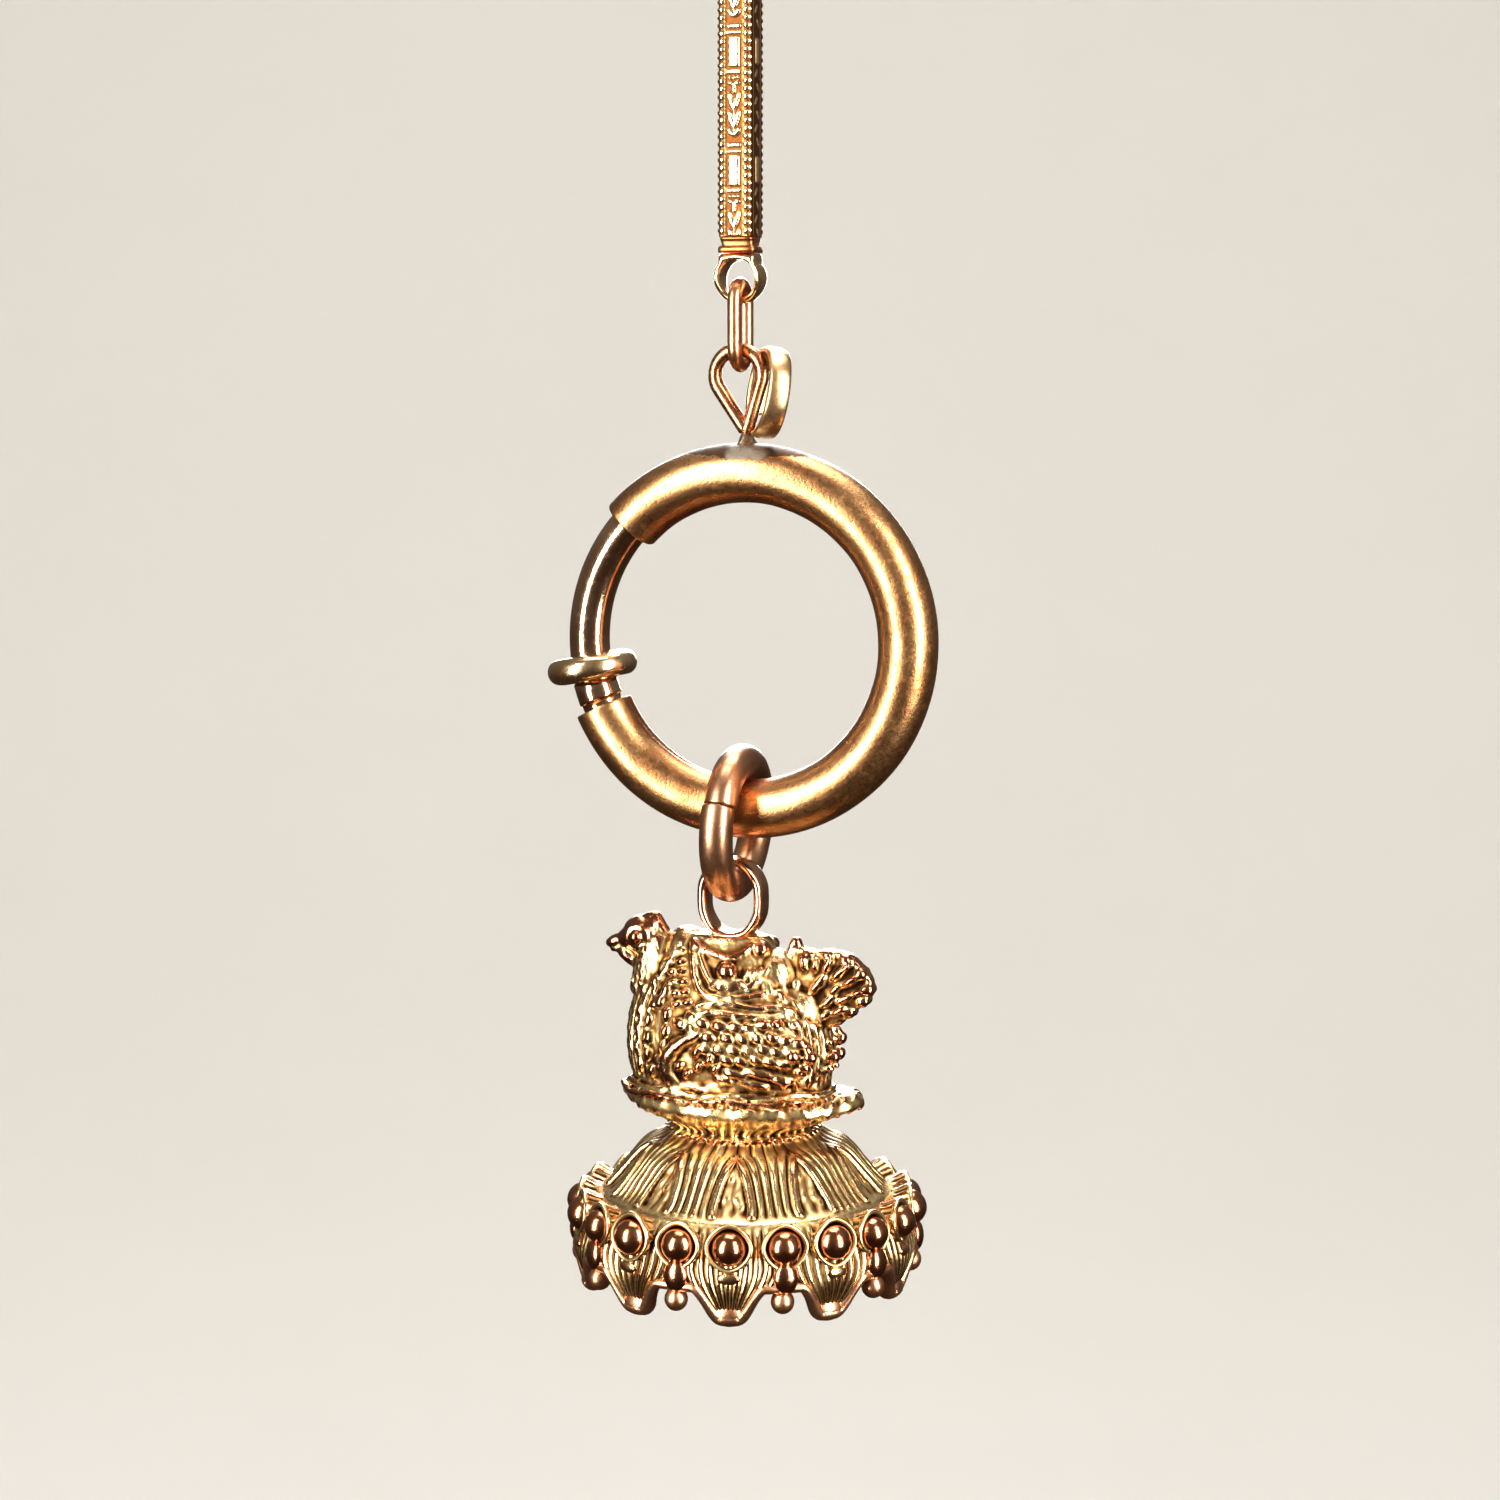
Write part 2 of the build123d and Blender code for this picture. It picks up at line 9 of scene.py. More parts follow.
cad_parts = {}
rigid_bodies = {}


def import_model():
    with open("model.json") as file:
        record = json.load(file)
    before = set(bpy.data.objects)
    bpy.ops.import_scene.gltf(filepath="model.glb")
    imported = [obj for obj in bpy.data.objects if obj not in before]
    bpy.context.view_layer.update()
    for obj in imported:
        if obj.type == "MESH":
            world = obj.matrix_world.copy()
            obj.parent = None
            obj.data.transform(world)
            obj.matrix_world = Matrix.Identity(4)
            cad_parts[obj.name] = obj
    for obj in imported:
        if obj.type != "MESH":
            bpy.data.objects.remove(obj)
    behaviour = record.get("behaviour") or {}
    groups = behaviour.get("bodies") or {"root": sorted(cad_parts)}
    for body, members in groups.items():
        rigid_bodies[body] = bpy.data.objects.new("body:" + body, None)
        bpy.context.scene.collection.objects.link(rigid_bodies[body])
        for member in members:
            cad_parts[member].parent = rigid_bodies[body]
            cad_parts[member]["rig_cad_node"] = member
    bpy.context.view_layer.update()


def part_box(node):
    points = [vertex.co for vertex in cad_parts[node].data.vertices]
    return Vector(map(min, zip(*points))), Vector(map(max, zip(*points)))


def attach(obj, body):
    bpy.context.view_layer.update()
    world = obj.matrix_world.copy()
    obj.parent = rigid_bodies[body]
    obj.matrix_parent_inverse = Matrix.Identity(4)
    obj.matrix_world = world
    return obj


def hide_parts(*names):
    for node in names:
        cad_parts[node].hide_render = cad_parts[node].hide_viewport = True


bl_info = {
    "name": "Fob Seal",
    "version": (1, 0, 0),
    "blender": (4, 5, 0),
    "location": "3D View > Sidebar > Fob Seal",
    "description": "Builds a gilt fob seal with its bolt ring, jump ring and watch chain bar",
    "category": "Add Mesh",
}

MM = 0.001

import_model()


def corner_mm(node, corner):
    """Lowest (0) or highest (1) corner of a CAD node, in millimetres."""
    return np.array(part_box(node)[corner]) / MM


# Places that the pieces share, in millimetres
RING_LOW = corner_mm("bolt_ring", 0)
RING_HIGH = corner_mm("bolt_ring", 1)
SEAL_LOW = corner_mm("seal", 0)
SEAL_HIGH = corner_mm("seal", 1)
JUMP_LOW = corner_mm("jump_ring", 0)
JUMP_HIGH = corner_mm("jump_ring", 1)
LINK_LOW = corner_mm("bar_link", 0)
LINK_HIGH = corner_mm("bar_link", 1)


def length(name, description, millimetres):
    """A size that the sidebar shows as a length."""
    return bpy.props.FloatProperty(
        name=name, description=description, default=millimetres * MM, min=0.0, unit="LENGTH", precision=5
    )


def turn(name, description, degrees):
    """An angle that the sidebar shows in degrees."""
    return bpy.props.FloatProperty(
        name=name, description=description, default=radians(degrees), unit="ROTATION", subtype="ANGLE"
    )


def colour(name, description, code):
    """A colour, given as its sRGB hex code."""
    return bpy.props.FloatVectorProperty(
        name=name, description=description, default=linear(code), size=4, min=0.0, max=1.0, subtype="COLOR"
    )


def linear(code):
    """Linear RGBA of an sRGB hex code such as d9a441."""
    shares = [int(code[i : i + 2], 16) / 255 for i in (0, 2, 4)]
    return tuple(s / 12.92 if s <= 0.04045 else ((s + 0.055) / 1.055) ** 2.4 for s in shares) + (1.0,)


class BarSettings(bpy.types.PropertyGroup):
    width: length("Width", "Width of the bar's front", 1.74)
    depth: length("Depth", "Depth of the bar from front to back", 1.9)
    body: length("Length", "Length of the patterned body", 22.9)
    period: length("Pattern", "Length of one repeat of the raised pattern", 5.725)
    step: length("Step", "Height of the plain copper step at each end", 0.55)
    loop_drop: length("Loop drop", "Distance from the middle of a loop's hole to its step", 1.45)
    loop: length("Loop radius", "Outer radius of the loop at each end", 1.246)
    hole: length("Loop hole", "Radius of the hole in each loop", 0.92)
    grain: length("Milgrain pitch", "Distance between the beads of the milgrain rows", 0.38)
    relief: length("Relief", "Height of the raised pattern", 0.09)


class LinkSettings(bpy.types.PropertyGroup):
    wire: length("Wire", "Thickness of the small link's wire", 0.7)


class RingSettings(bpy.types.PropertyGroup):
    outer: length("Outer diameter", "Outer diameter of the bolt ring", 19.9)
    tube: length("Tube", "Diameter of the bolt ring's tube", 3.0)
    wall: length("Wall", "Thickness of the tube's wall", 0.32)
    upper_mouth: turn("Upper mouth", "Angle from the right at which the tube's upper mouth is cut", 136.7)
    lower_mouth: turn("Lower mouth", "Angle from the right at which the tube's lower mouth is cut", 204.5)
    rod: length("Rod", "Diameter of the sliding bolt", 2.06)
    sleeve: length("Sleeve", "Diameter of the sleeve next to the bolt's collar", 2.26)
    collar: length("Collar", "Outer diameter of the bolt's collar", 4.62)
    collar_wire: length("Collar wire", "Thickness of the collar", 1.34)


class EyeSettings(bpy.types.PropertyGroup):
    wire: length("Eye wire", "Thickness of the copper wire eye", 0.72)
    radius: length("Eye radius", "Radius of the eye's bend, to the middle of the wire", 1.24)
    leg: length("Eye leg", "Distance from the middle of the bend to the foot", 2.85)
    band: length("Side eye band", "Width of the flat side eye's band", 1.15)
    band_outer: length("Side eye", "Outer diameter of the flat side eye", 4.6)
    band_wall: length("Side eye wall", "Thickness of the flat side eye", 0.45)


class JumpSettings(bpy.types.PropertyGroup):
    outer: length("Outer diameter", "Outer diameter of the jump ring", 8.05)
    wire: length("Wire", "Thickness of the jump ring's wire", 1.7)
    lean: turn("Lean", "Angle by which the jump ring leans to the left", 3.7)
    seam: turn("Seam", "Angle of the butt seam above the ring's front", 22.0)


class SealSettings(bpy.types.PropertyGroup):
    hen_length: length("Hen length", "Length of the hen from breast to tail", 10.6)
    hen_width: length("Hen width", "Width of the hen across its wings", 6.7)
    hen_height: length("Hen height", "Height from the plate to the top of the bail", 12.0)
    hen_shift: length("Hen shift", "Distance of the hen's middle to the right of the bail's", 0.42)
    bail_width: length("Bail width", "Outer width of the bail", 3.7)
    bail_height: length("Bail height", "Outer height of the bail", 4.3)
    plate_thickness: length("Plate", "Thickness of the leaf plate under the hen", 1.7)
    base_radius: length("Base radius", "Largest radius of the base's skirt", 9.0)
    arch: length("Arch height", "Height of the arches cut in the skirt's edge", 2.0)
    bead: length("Bead", "Radius of the balls round the base", 0.91)
    drop: length("Hanging ball", "Radius of the balls that hang in the arches", 0.58)
    voxel: length("Fusing grain", "Grain at which the hen's forms are fused", 0.08)


class FinishSettings(bpy.types.PropertyGroup):
    gilt: colour("Gilding", "Yellow gilding between the hollows and the crests", "dcbf86")
    # Brown of the hollows: gold partly darkened by painted shade where the relief is low
    hollow_and_shade: colour("Hollows", "Brown gold in the hollows of the gilding", "805a32")
    rose: colour("Worn rose gold", "Copper-rose metal where the gilding is worn off", "a96e50")
    bronze: colour("Bolt ring", "Antique satin gold of the bolt ring", "ae8255")
    # Near black of the deepest furrows: tarnish and painted shade
    tarnish_and_shade: colour("Tarnish", "Dark tarnish in the deepest furrows", "1d0f06")
    pale: colour("Backdrop", "Pale floor and backdrop", "e8e7e4")


SETTINGS = {
    "fob_bar": BarSettings,
    "fob_link": LinkSettings,
    "fob_ring": RingSettings,
    "fob_eye": EyeSettings,
    "fob_jump": JumpSettings,
    "fob_seal": SealSettings,
    "fob_finish": FinishSettings,
}


def mm(value):
    """Millimetres from a stored length."""
    return value / MM


# Curves and profiles


def smooth_curve(where, places, values):
    """Cubic curve through the table's points: each span is a Hermite cubic whose end slopes
    are the table's central differences."""
    places = np.asarray(places, float)
    values = np.asarray(values, float)
    slopes = np.gradient(values, places)
    where = np.clip(where, places[0], places[-1])
    span = np.clip(np.searchsorted(places, where, side="right") - 1, 0, len(places) - 2)
    width = places[span + 1] - places[span]
    t = (where - places[span]) / width
    low, high = values[span], values[span + 1]
    rise = (2 * t**3 - 3 * t**2 + 1) * low + (3 * t**2 - 2 * t**3) * high
    return rise + width * ((t**3 - 2 * t**2 + t) * slopes[span] + (t**3 - t**2) * slopes[span + 1])


def ease(value, low, high):
    """Smooth step from 0 at low to 1 at high: 3t^2 - 2t^3."""
    t = np.clip((value - low) / (high - low), 0, 1)
    return t * t * (3 - 2 * t)


def uneven(first, second, seed):
    """Slow waves of about -1 to 1, a sum of four sines of two coordinates with seeded phases."""
    draw = np.random.default_rng(seed)
    total = 0
    for number in range(4):
        a, b = draw.uniform(-1, 1, 2) * (number + 1)
        total = total + np.sin(a * first + b * second + draw.uniform(0, 2 * pi)) / (number + 1)
    return total / 1.5


def rough_cast(points, wave, seed):
    """Uneven cast skin of about -1 to 1: a sum of sines along random directions in space."""
    draw = np.random.default_rng(seed)
    ways = unit(draw.normal(size=(14, 3))) * 2 * pi / wave * draw.uniform(0.7, 1.6, (14, 1))
    return np.sin(points @ ways.T + draw.uniform(0, 2 * pi, 14)).sum(1) / 5


def unit(vectors):
    """Vectors of length one."""
    return vectors / np.linalg.norm(vectors, axis=-1, keepdims=True)


def section(count, half_out, half_across, power):
    """Superellipse section: out = a |cos|^(2/p), across = b |sin|^(2/p), with their signs."""
    angle = np.linspace(0, 2 * pi, count, endpoint=False)
    out = np.sign(np.cos(angle)) * np.abs(np.cos(angle)) ** (2 / power) * half_out
    across = np.sign(np.sin(angle)) * np.abs(np.sin(angle)) ** (2 / power) * half_across
    return out, across


# Surfaces, each a pair of points in millimetres and four-cornered faces


def grid_faces(rows, columns, close_rows=False, close_columns=True):
    """Faces of a grid whose point (row, column) has number row * columns + column."""
    row = np.arange(rows if close_rows else rows - 1)
    column = np.arange(columns if close_columns else columns - 1)
    row, column = np.meshgrid(row, column, indexing="ij")
    below, beside = (row + 1) % rows, (column + 1) % columns
    here, under = row * columns, below * columns
    return np.stack([here + column, here + beside, under + beside, under + column], -1).reshape(-1, 4)


def surface(points, close_rows=False, close_columns=True):
    """Surface of a grid of points (rows, columns, 3)."""
    rows, columns = points.shape[:2]
    return points.reshape(-1, 3), grid_faces(rows, columns, close_rows, close_columns)


def carried(path, out, across, section_out, section_across):
    """Points of a section carried along a path: path + out * u + across * v."""
    section_out = np.broadcast_to(section_out, (len(path), np.shape(section_out)[-1]))
    section_across = np.broadcast_to(section_across, section_out.shape)
    return (
        path[:, None]
        + np.broadcast_to(out, path.shape)[:, None] * section_out[..., None]
        + np.broadcast_to(across, path.shape)[:, None] * section_across[..., None]
    )


def ball(rows=10, columns=14):
    """Unit ball, z = -cos(a), radius sin(a), with its poles closed when doubles are merged."""
    rise = np.linspace(0, pi, rows)[:, None]
    around = np.linspace(0, 2 * pi, columns, endpoint=False)[None]
    points = [np.sin(rise) * np.cos(around), np.sin(rise) * np.sin(around), -np.cos(rise) + 0 * around]
    return surface(np.stack(points, -1))


def joined(*surfaces):
    """One surface of several."""
    offsets = np.cumsum([0] + [len(points) for points, _ in surfaces])
    points = np.concatenate([points for points, _ in surfaces])
    faces = np.concatenate([faces + offset for (_, faces), offset in zip(surfaces, offsets)])
    return points, faces


def placed(shape, centre, along, up, size):
    """Copies of a shape: its x runs along, its z near up, and it is stretched by size."""
    points, faces = shape
    centre, along, up, size = (np.atleast_2d(np.asarray(a, float)) for a in (centre, along, up, size))
    count = max(len(centre), len(along), len(up), len(size))
    ex = unit(np.broadcast_to(along, (count, 3)))
    up = np.broadcast_to(up, (count, 3))
    ez = unit(up - ex * np.sum(up * ex, -1, keepdims=True))
    ey = np.cross(ez, ex)
    scaled = points[None] * np.broadcast_to(size, (count, 3))[:, None]
    moved = (
        np.broadcast_to(centre, (count, 3))[:, None]
        + scaled[..., :1] * ex[:, None]
        + scaled[..., 1:2] * ey[:, None]
        + scaled[..., 2:] * ez[:, None]
    )
    numbers = faces[None] + (np.arange(count) * len(points))[:, None, None]
    return moved.reshape(-1, 3), numbers.reshape(-1, 4)


# Objects


def add_piece(name, shape, material, body, nodes, relief=None):
    """Mesh object in metres from a surface, with merged doubles and outward normals."""
    points, faces = shape
    mesh = bpy.data.meshes.new(name)
    mesh.vertices.add(len(points))
    mesh.vertices.foreach_set("co", (points * MM).astype(np.float32).ravel())
    mesh.loops.add(faces.size)
    mesh.loops.foreach_set("vertex_index", faces.astype(np.int32).ravel())
    mesh.polygons.add(len(faces))
    mesh.polygons.foreach_set("loop_start", np.arange(0, faces.size, 4, dtype=np.int32))
    mesh.update(calc_edges=True)
    if relief is not None:
        store_relief(mesh, relief)
    tidy_mesh(mesh)
    piece = bpy.data.objects.new(name, mesh)
    bpy.context.scene.collection.objects.link(piece)
    return finish_piece(piece, material, body, nodes)


def finish_piece(piece, material, body, nodes):
    """Gives a piece its material and its body, and hides the CAD parts that it stands for."""
    piece.data.polygons.foreach_set("use_smooth", np.ones(len(piece.data.polygons), bool))
    piece.data.materials.clear()
    piece.data.materials.append(material)
    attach(piece, body)
    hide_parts(*nodes)
    return piece


def tidy_mesh(mesh):
    """Merges the doubles at seams and poles, then turns every face outwards."""
    work = bmesh.new()
    work.from_mesh(mesh)
    bmesh.ops.remove_doubles(work, verts=work.verts, dist=2e-7)
    bmesh.ops.recalc_face_normals(work, faces=work.faces)
    work.to_mesh(mesh)
    work.free()


def mesh_points(mesh):
    """A mesh's points in millimetres."""
    points = np.empty(len(mesh.vertices) * 3, np.float32)
    mesh.vertices.foreach_get("co", points)
    return points.reshape(-1, 3).astype(float) / MM


def mesh_normals(mesh):
    """A mesh's normals at its points."""
    normals = np.empty(len(mesh.vertices) * 3, np.float32)
    mesh.vertex_normals.foreach_get("vector", normals)
    return normals.reshape(-1, 3)


def mark_relief(piece, reach, height, worn=None):
    """Relief of each point, 0 in a hollow and 1 on a crest. The mesh is smoothed by averaging
    each point with its neighbours, and the relief is how far the point stands outside that.
    Round a worn place, given by its middle and radius, the relief counts for more."""
    mesh = piece.data
    points = mesh_points(mesh)
    edges = np.empty(len(mesh.edges) * 2, np.int32)
    mesh.edges.foreach_get("vertices", edges)
    first, second = edges.reshape(-1, 2).T
    count = np.bincount(edges, minlength=len(points))[:, None]
    step = np.median(np.linalg.norm(points[first] - points[second], axis=1))
    smooth = points.copy()
    for _ in range(int(np.clip((reach / step) ** 2, 2, 80))):
        total = np.empty_like(smooth)
        for axis in range(3):
            total[:, axis] = np.bincount(first, smooth[second, axis], len(points))
            total[:, axis] += np.bincount(second, smooth[first, axis], len(points))
        smooth = 0.5 * smooth + 0.5 * total / np.maximum(count, 1)
    stands = np.sum((points - smooth) * mesh_normals(mesh), -1)
    relief = 0.5 + 0.5 * stands / height
    if worn is not None:
        relief += 0.34 * np.exp(-((np.linalg.norm(points - worn[0], axis=1) / worn[1]) ** 4))
    store_relief(mesh, np.clip(relief, 0, 1))


def store_relief(mesh, relief):
    """Keeps the relief as a point attribute, which the worn metals read."""
    layer = mesh.attributes.get("relief") or mesh.attributes.new("relief", "FLOAT", "POINT")
    layer.data.foreach_set("value", relief.astype(np.float32).ravel())


# Materials


def add_node(tree, kind, settings=None, inputs=None):
    """Adds a node, sets its own settings, and sets or links each named input."""
    node = tree.nodes.new(kind)
    for name, value in (settings or {}).items():
        setattr(node, name, value)
    for name, value in (inputs or {}).items():
        if isinstance(value, bpy.types.NodeSocket):
            tree.links.new(value, node.inputs[name])
        else:
            node.inputs[name].default_value = value
    return node


def new_material(name):
    """Empty node material, its tree, and a socket of Object coordinates in millimetres."""
    material = bpy.data.materials.new(name)
    material.use_nodes = True
    tree = material.node_tree
    tree.nodes.clear()
    place = add_node(tree, "ShaderNodeTexCoord").outputs["Object"]
    per_mm = add_node(tree, "ShaderNodeVectorMath", {"operation": "SCALE"}, {0: place, "Scale": 1 / MM})
    return material, tree, per_mm.outputs[0]


def scaled_noise(tree, place, size_mm, detail, rough=0.6):
    """Noise whose features are about size_mm across."""
    inputs = {"Vector": place, "Scale": 1 / size_mm, "Detail": detail, "Roughness": rough}
    return add_node(tree, "ShaderNodeTexNoise", None, inputs).outputs[0]


def between(tree, value, low, high, first=0.0, last=1.0):
    """Smooth step of a socket from the first result at low to the last at high."""
    settings = {"interpolation_type": "SMOOTHSTEP"}
    inputs = {"Value": value, "From Min": low, "From Max": high, "To Min": first, "To Max": last}
    return add_node(tree, "ShaderNodeMapRange", settings, inputs).outputs[0]


def mixed(tree, share, first, second):
    """Colour mixed from two colours, each a socket or an RGBA value."""
    inputs = {0: share, 6: first, 7: second}
    return add_node(tree, "ShaderNodeMix", {"data_type": "RGBA"}, inputs).outputs[2]


def calculated(tree, operation, *values, clamp=False):
    """Result of a math node."""
    settings = {"operation": operation, "use_clamp": clamp}
    return add_node(tree, "ShaderNodeMath", settings, dict(enumerate(values))).outputs[0]


def finish_metal(tree, shade, gloss, height, bump_mm):
    """Metal shader with linked colour and roughness, and a bump of that height in millimetres."""
    bump_inputs = {"Strength": 1.0, "Distance": bump_mm * MM, "Height": height}
    bump = add_node(tree, "ShaderNodeBump", None, bump_inputs).outputs[0]
    inputs = {"Base Color": shade, "Roughness": gloss, "Normal": bump, "Metallic": 1.0}
    shader = add_node(tree, "ShaderNodeBsdfPrincipled", None, inputs)
    add_node(tree, "ShaderNodeOutputMaterial", None, {"Surface": shader.outputs[0]})


# The real grain of these metals is about 0.02 mm, too fine to show, so each material draws it
# at 0.09 to 0.2 mm.


def worn_metal(name, shades, levels, rough, patch_mm, patch, grain_mm, bump_mm):
    """Metal whose colour and gloss follow its relief, from furrows darkened by tarnish and painted
    shade over the gilded hollows, browned partly by painted shade, to worn crests, broken up by
    patches of tarnish and a fine grain. Shades are the four colours at the four levels of the relief."""
    material, tree, place = new_material(name)
    relief = add_node(tree, "ShaderNodeAttribute", {"attribute_name": "relief"}).outputs["Fac"]
    patches = scaled_noise(tree, place, patch_mm, 4.0, 0.62)
    grain = scaled_noise(tree, place, grain_mm, 3.0)
    shifted = calculated(tree, "MULTIPLY_ADD", patches, patch, -patch / 2)
    worn = calculated(tree, "ADD", relief, shifted)
    # The two lowest shades paint shade, together with tarnish, into the furrows and hollows
    ramp = add_node(tree, "ShaderNodeValToRGB", None, {"Fac": worn})
    stops = ramp.color_ramp.elements
    for level, shade in zip(levels, shades):
        stops.new(level).color = shade
    stops.remove(stops[-1])
    stops.remove(stops[0])
    # A greenish bloom, in patches, where dirt stays in the hollows
    green = between(tree, scaled_noise(tree, place, 1.7, 5.0), 0.63, 0.72)
    hollowed = calculated(tree, "SUBTRACT", 1.0, between(tree, relief, 0.30, 0.48))
    green = calculated(tree, "MULTIPLY", calculated(tree, "MULTIPLY", green, hollowed), 0.75)
    shade = mixed(tree, green, ramp.outputs[0], linear("3f5a46"))
    gloss = between(tree, worn, levels[0], levels[-1], *rough)
    gloss = calculated(tree, "MULTIPLY_ADD", grain, 0.16, gloss, clamp=True)
    gloss = calculated(tree, "SUBTRACT", gloss, 0.08, clamp=True)
    finish_metal(tree, shade, gloss, grain, bump_mm)
    return material


def engraved_metal():
    """Yellow gold of the bar, stamped and polished: bright flats over a darker, warmer ground."""
    shades = [linear(code) for code in ("4c2c14", "8f6034", "d0a872", "f4e2bc")]
    levels = (0.02, 0.14, 0.36, 0.80)
    return worn_metal("Engraved yellow gold", shades, levels, (0.42, 0.18), 1.6, 0.22, 0.1, 0.006)


def cast_metal(name, finish, levels):
    """Fire-gilded cast brass: dark and dull in the furrows, with tarnish and painted shade, yellow above
    them, and bright copper rose where wear has taken the gilding off the crests."""
    shades = [tuple(shade) for shade in (finish.tarnish_and_shade, finish.hollow_and_shade, finish.gilt, finish.rose)]
    return worn_metal(name, shades, levels, (0.46, 0.17), 2.0, 0.30, 0.09, 0.010)


PLAIN_METALS = {
    # name: two colours that it drifts between, colour and strength of its blots, roughness,
    # then the sizes of its patches and grain and the height of its bump, in millimetres
    # Old copper sheet, gone brown: a dull dark band between two gold parts
    "Dark copper step": ("8a5030", "a5683f", "3b2010", 0.35, 0.34, 1.0, 0.1, 0.006),
    # Gold rubbed by the next link: broad bright highlights, browner where it isn't touched
    "Worn polished gold loop": ("d3a97a", "e3c494", "8a5a36", 0.35, 0.22, 1.0, 0.1, 0.006),
    # Drawn copper wire, brushed: a soft rosy sheen
    "Brushed copper wire": ("bd8664", "ad7450", "6d3f24", 0.35, 0.30, 1.4, 0.12, 0.008),
    # Soft solder left as it ran: grey-brown, lumpy and almost matt
    "Grey solder": ("8b7c6a", "6b5238", "2e1c10", 0.6, 0.42, 0.8, 0.15, 0.03),
    # Drawn wire that is worn brighter than the link: a sharper rosy sheen
    "Copper eye wire": ("bd835c", "a56a45", "5a301a", 0.35, 0.26, 1.2, 0.12, 0.008),
    # Rolled brass strip: pale yellow with a satin sheen
    "Pale brass band": ("cfac7e", "b99262", "74492a", 0.35, 0.30, 1.2, 0.12, 0.010),
    # Gold rod polished by sliding in its tube: near a mirror, so it shows the room's dark and light
    "Polished rosy gold bolt": ("d8b08c", "c4987a", "7a4b3c", 0.35, 0.13, 1.8, 0.2, 0.006),
    # Turned brass, polished by the thumb: pale and bright with soft edges to its highlights
    "Pale brass collar": ("dfc39a", "cda878", "7d5636", 0.35, 0.20, 1.6, 0.2, 0.008),
    # Thick copper wire with an even satin finish: long soft highlights round its bend
    "Satin copper ring": ("b58665", "a57555", "6a3d2a", 0.35, 0.30, 2.6, 0.14, 0.006),
    # Rose gold polished by the jump ring: a clear line of light along each edge
    "Polished rose gold bail": ("d8a582", "c58b66", "7b4a30", 0.35, 0.18, 1.2, 0.1, 0.006),
    # Cast edge worn through its gilding: rosy and half dull, with brown pits
    "Worn rose gold rim": ("d39d78", "bd855f", "6b3c24", 0.35, 0.30, 1.1, 0.1, 0.012),
    # Balls rubbed bright: deep copper with one small hard highlight
    "Polished copper rose ball": ("bb7f5c", "a56844", "5c3019", 0.35, 0.17, 0.9, 0.1, 0.008),
    # The flat face under the skirt, which the photo doesn't show: plain satin gold
    "Plain satin gold face": ("c79a5c", "b88748", "6d4320", 0.35, 0.34, 2.0, 0.2, 0.006),
}


def smooth_metal(name):
    """One of the plain metals: it drifts between two colours in soft patches, with darker
    blots and a fine grain in its gloss."""
    first, second, blot, blots, rough, patch_mm, grain_mm, bump_mm = PLAIN_METALS[name]
    material, tree, place = new_material(name)
    patches = between(tree, scaled_noise(tree, place, patch_mm, 3.0), 0.36, 0.64)
    shade = mixed(tree, patches, linear(first), linear(second))
    specks = between(tree, scaled_noise(tree, place, patch_mm * 0.22, 4.0), 0.55, 0.75)
    specks = calculated(tree, "MULTIPLY", specks, blots)
    shade = mixed(tree, specks, shade, linear(blot))
    grain = scaled_noise(tree, place, grain_mm, 3.0)
    gloss = calculated(tree, "MULTIPLY_ADD", grain, 0.16, rough - 0.08)
    gloss = calculated(tree, "MULTIPLY_ADD", specks, 0.30, gloss)
    finish_metal(tree, shade, gloss, grain, bump_mm)
    return material


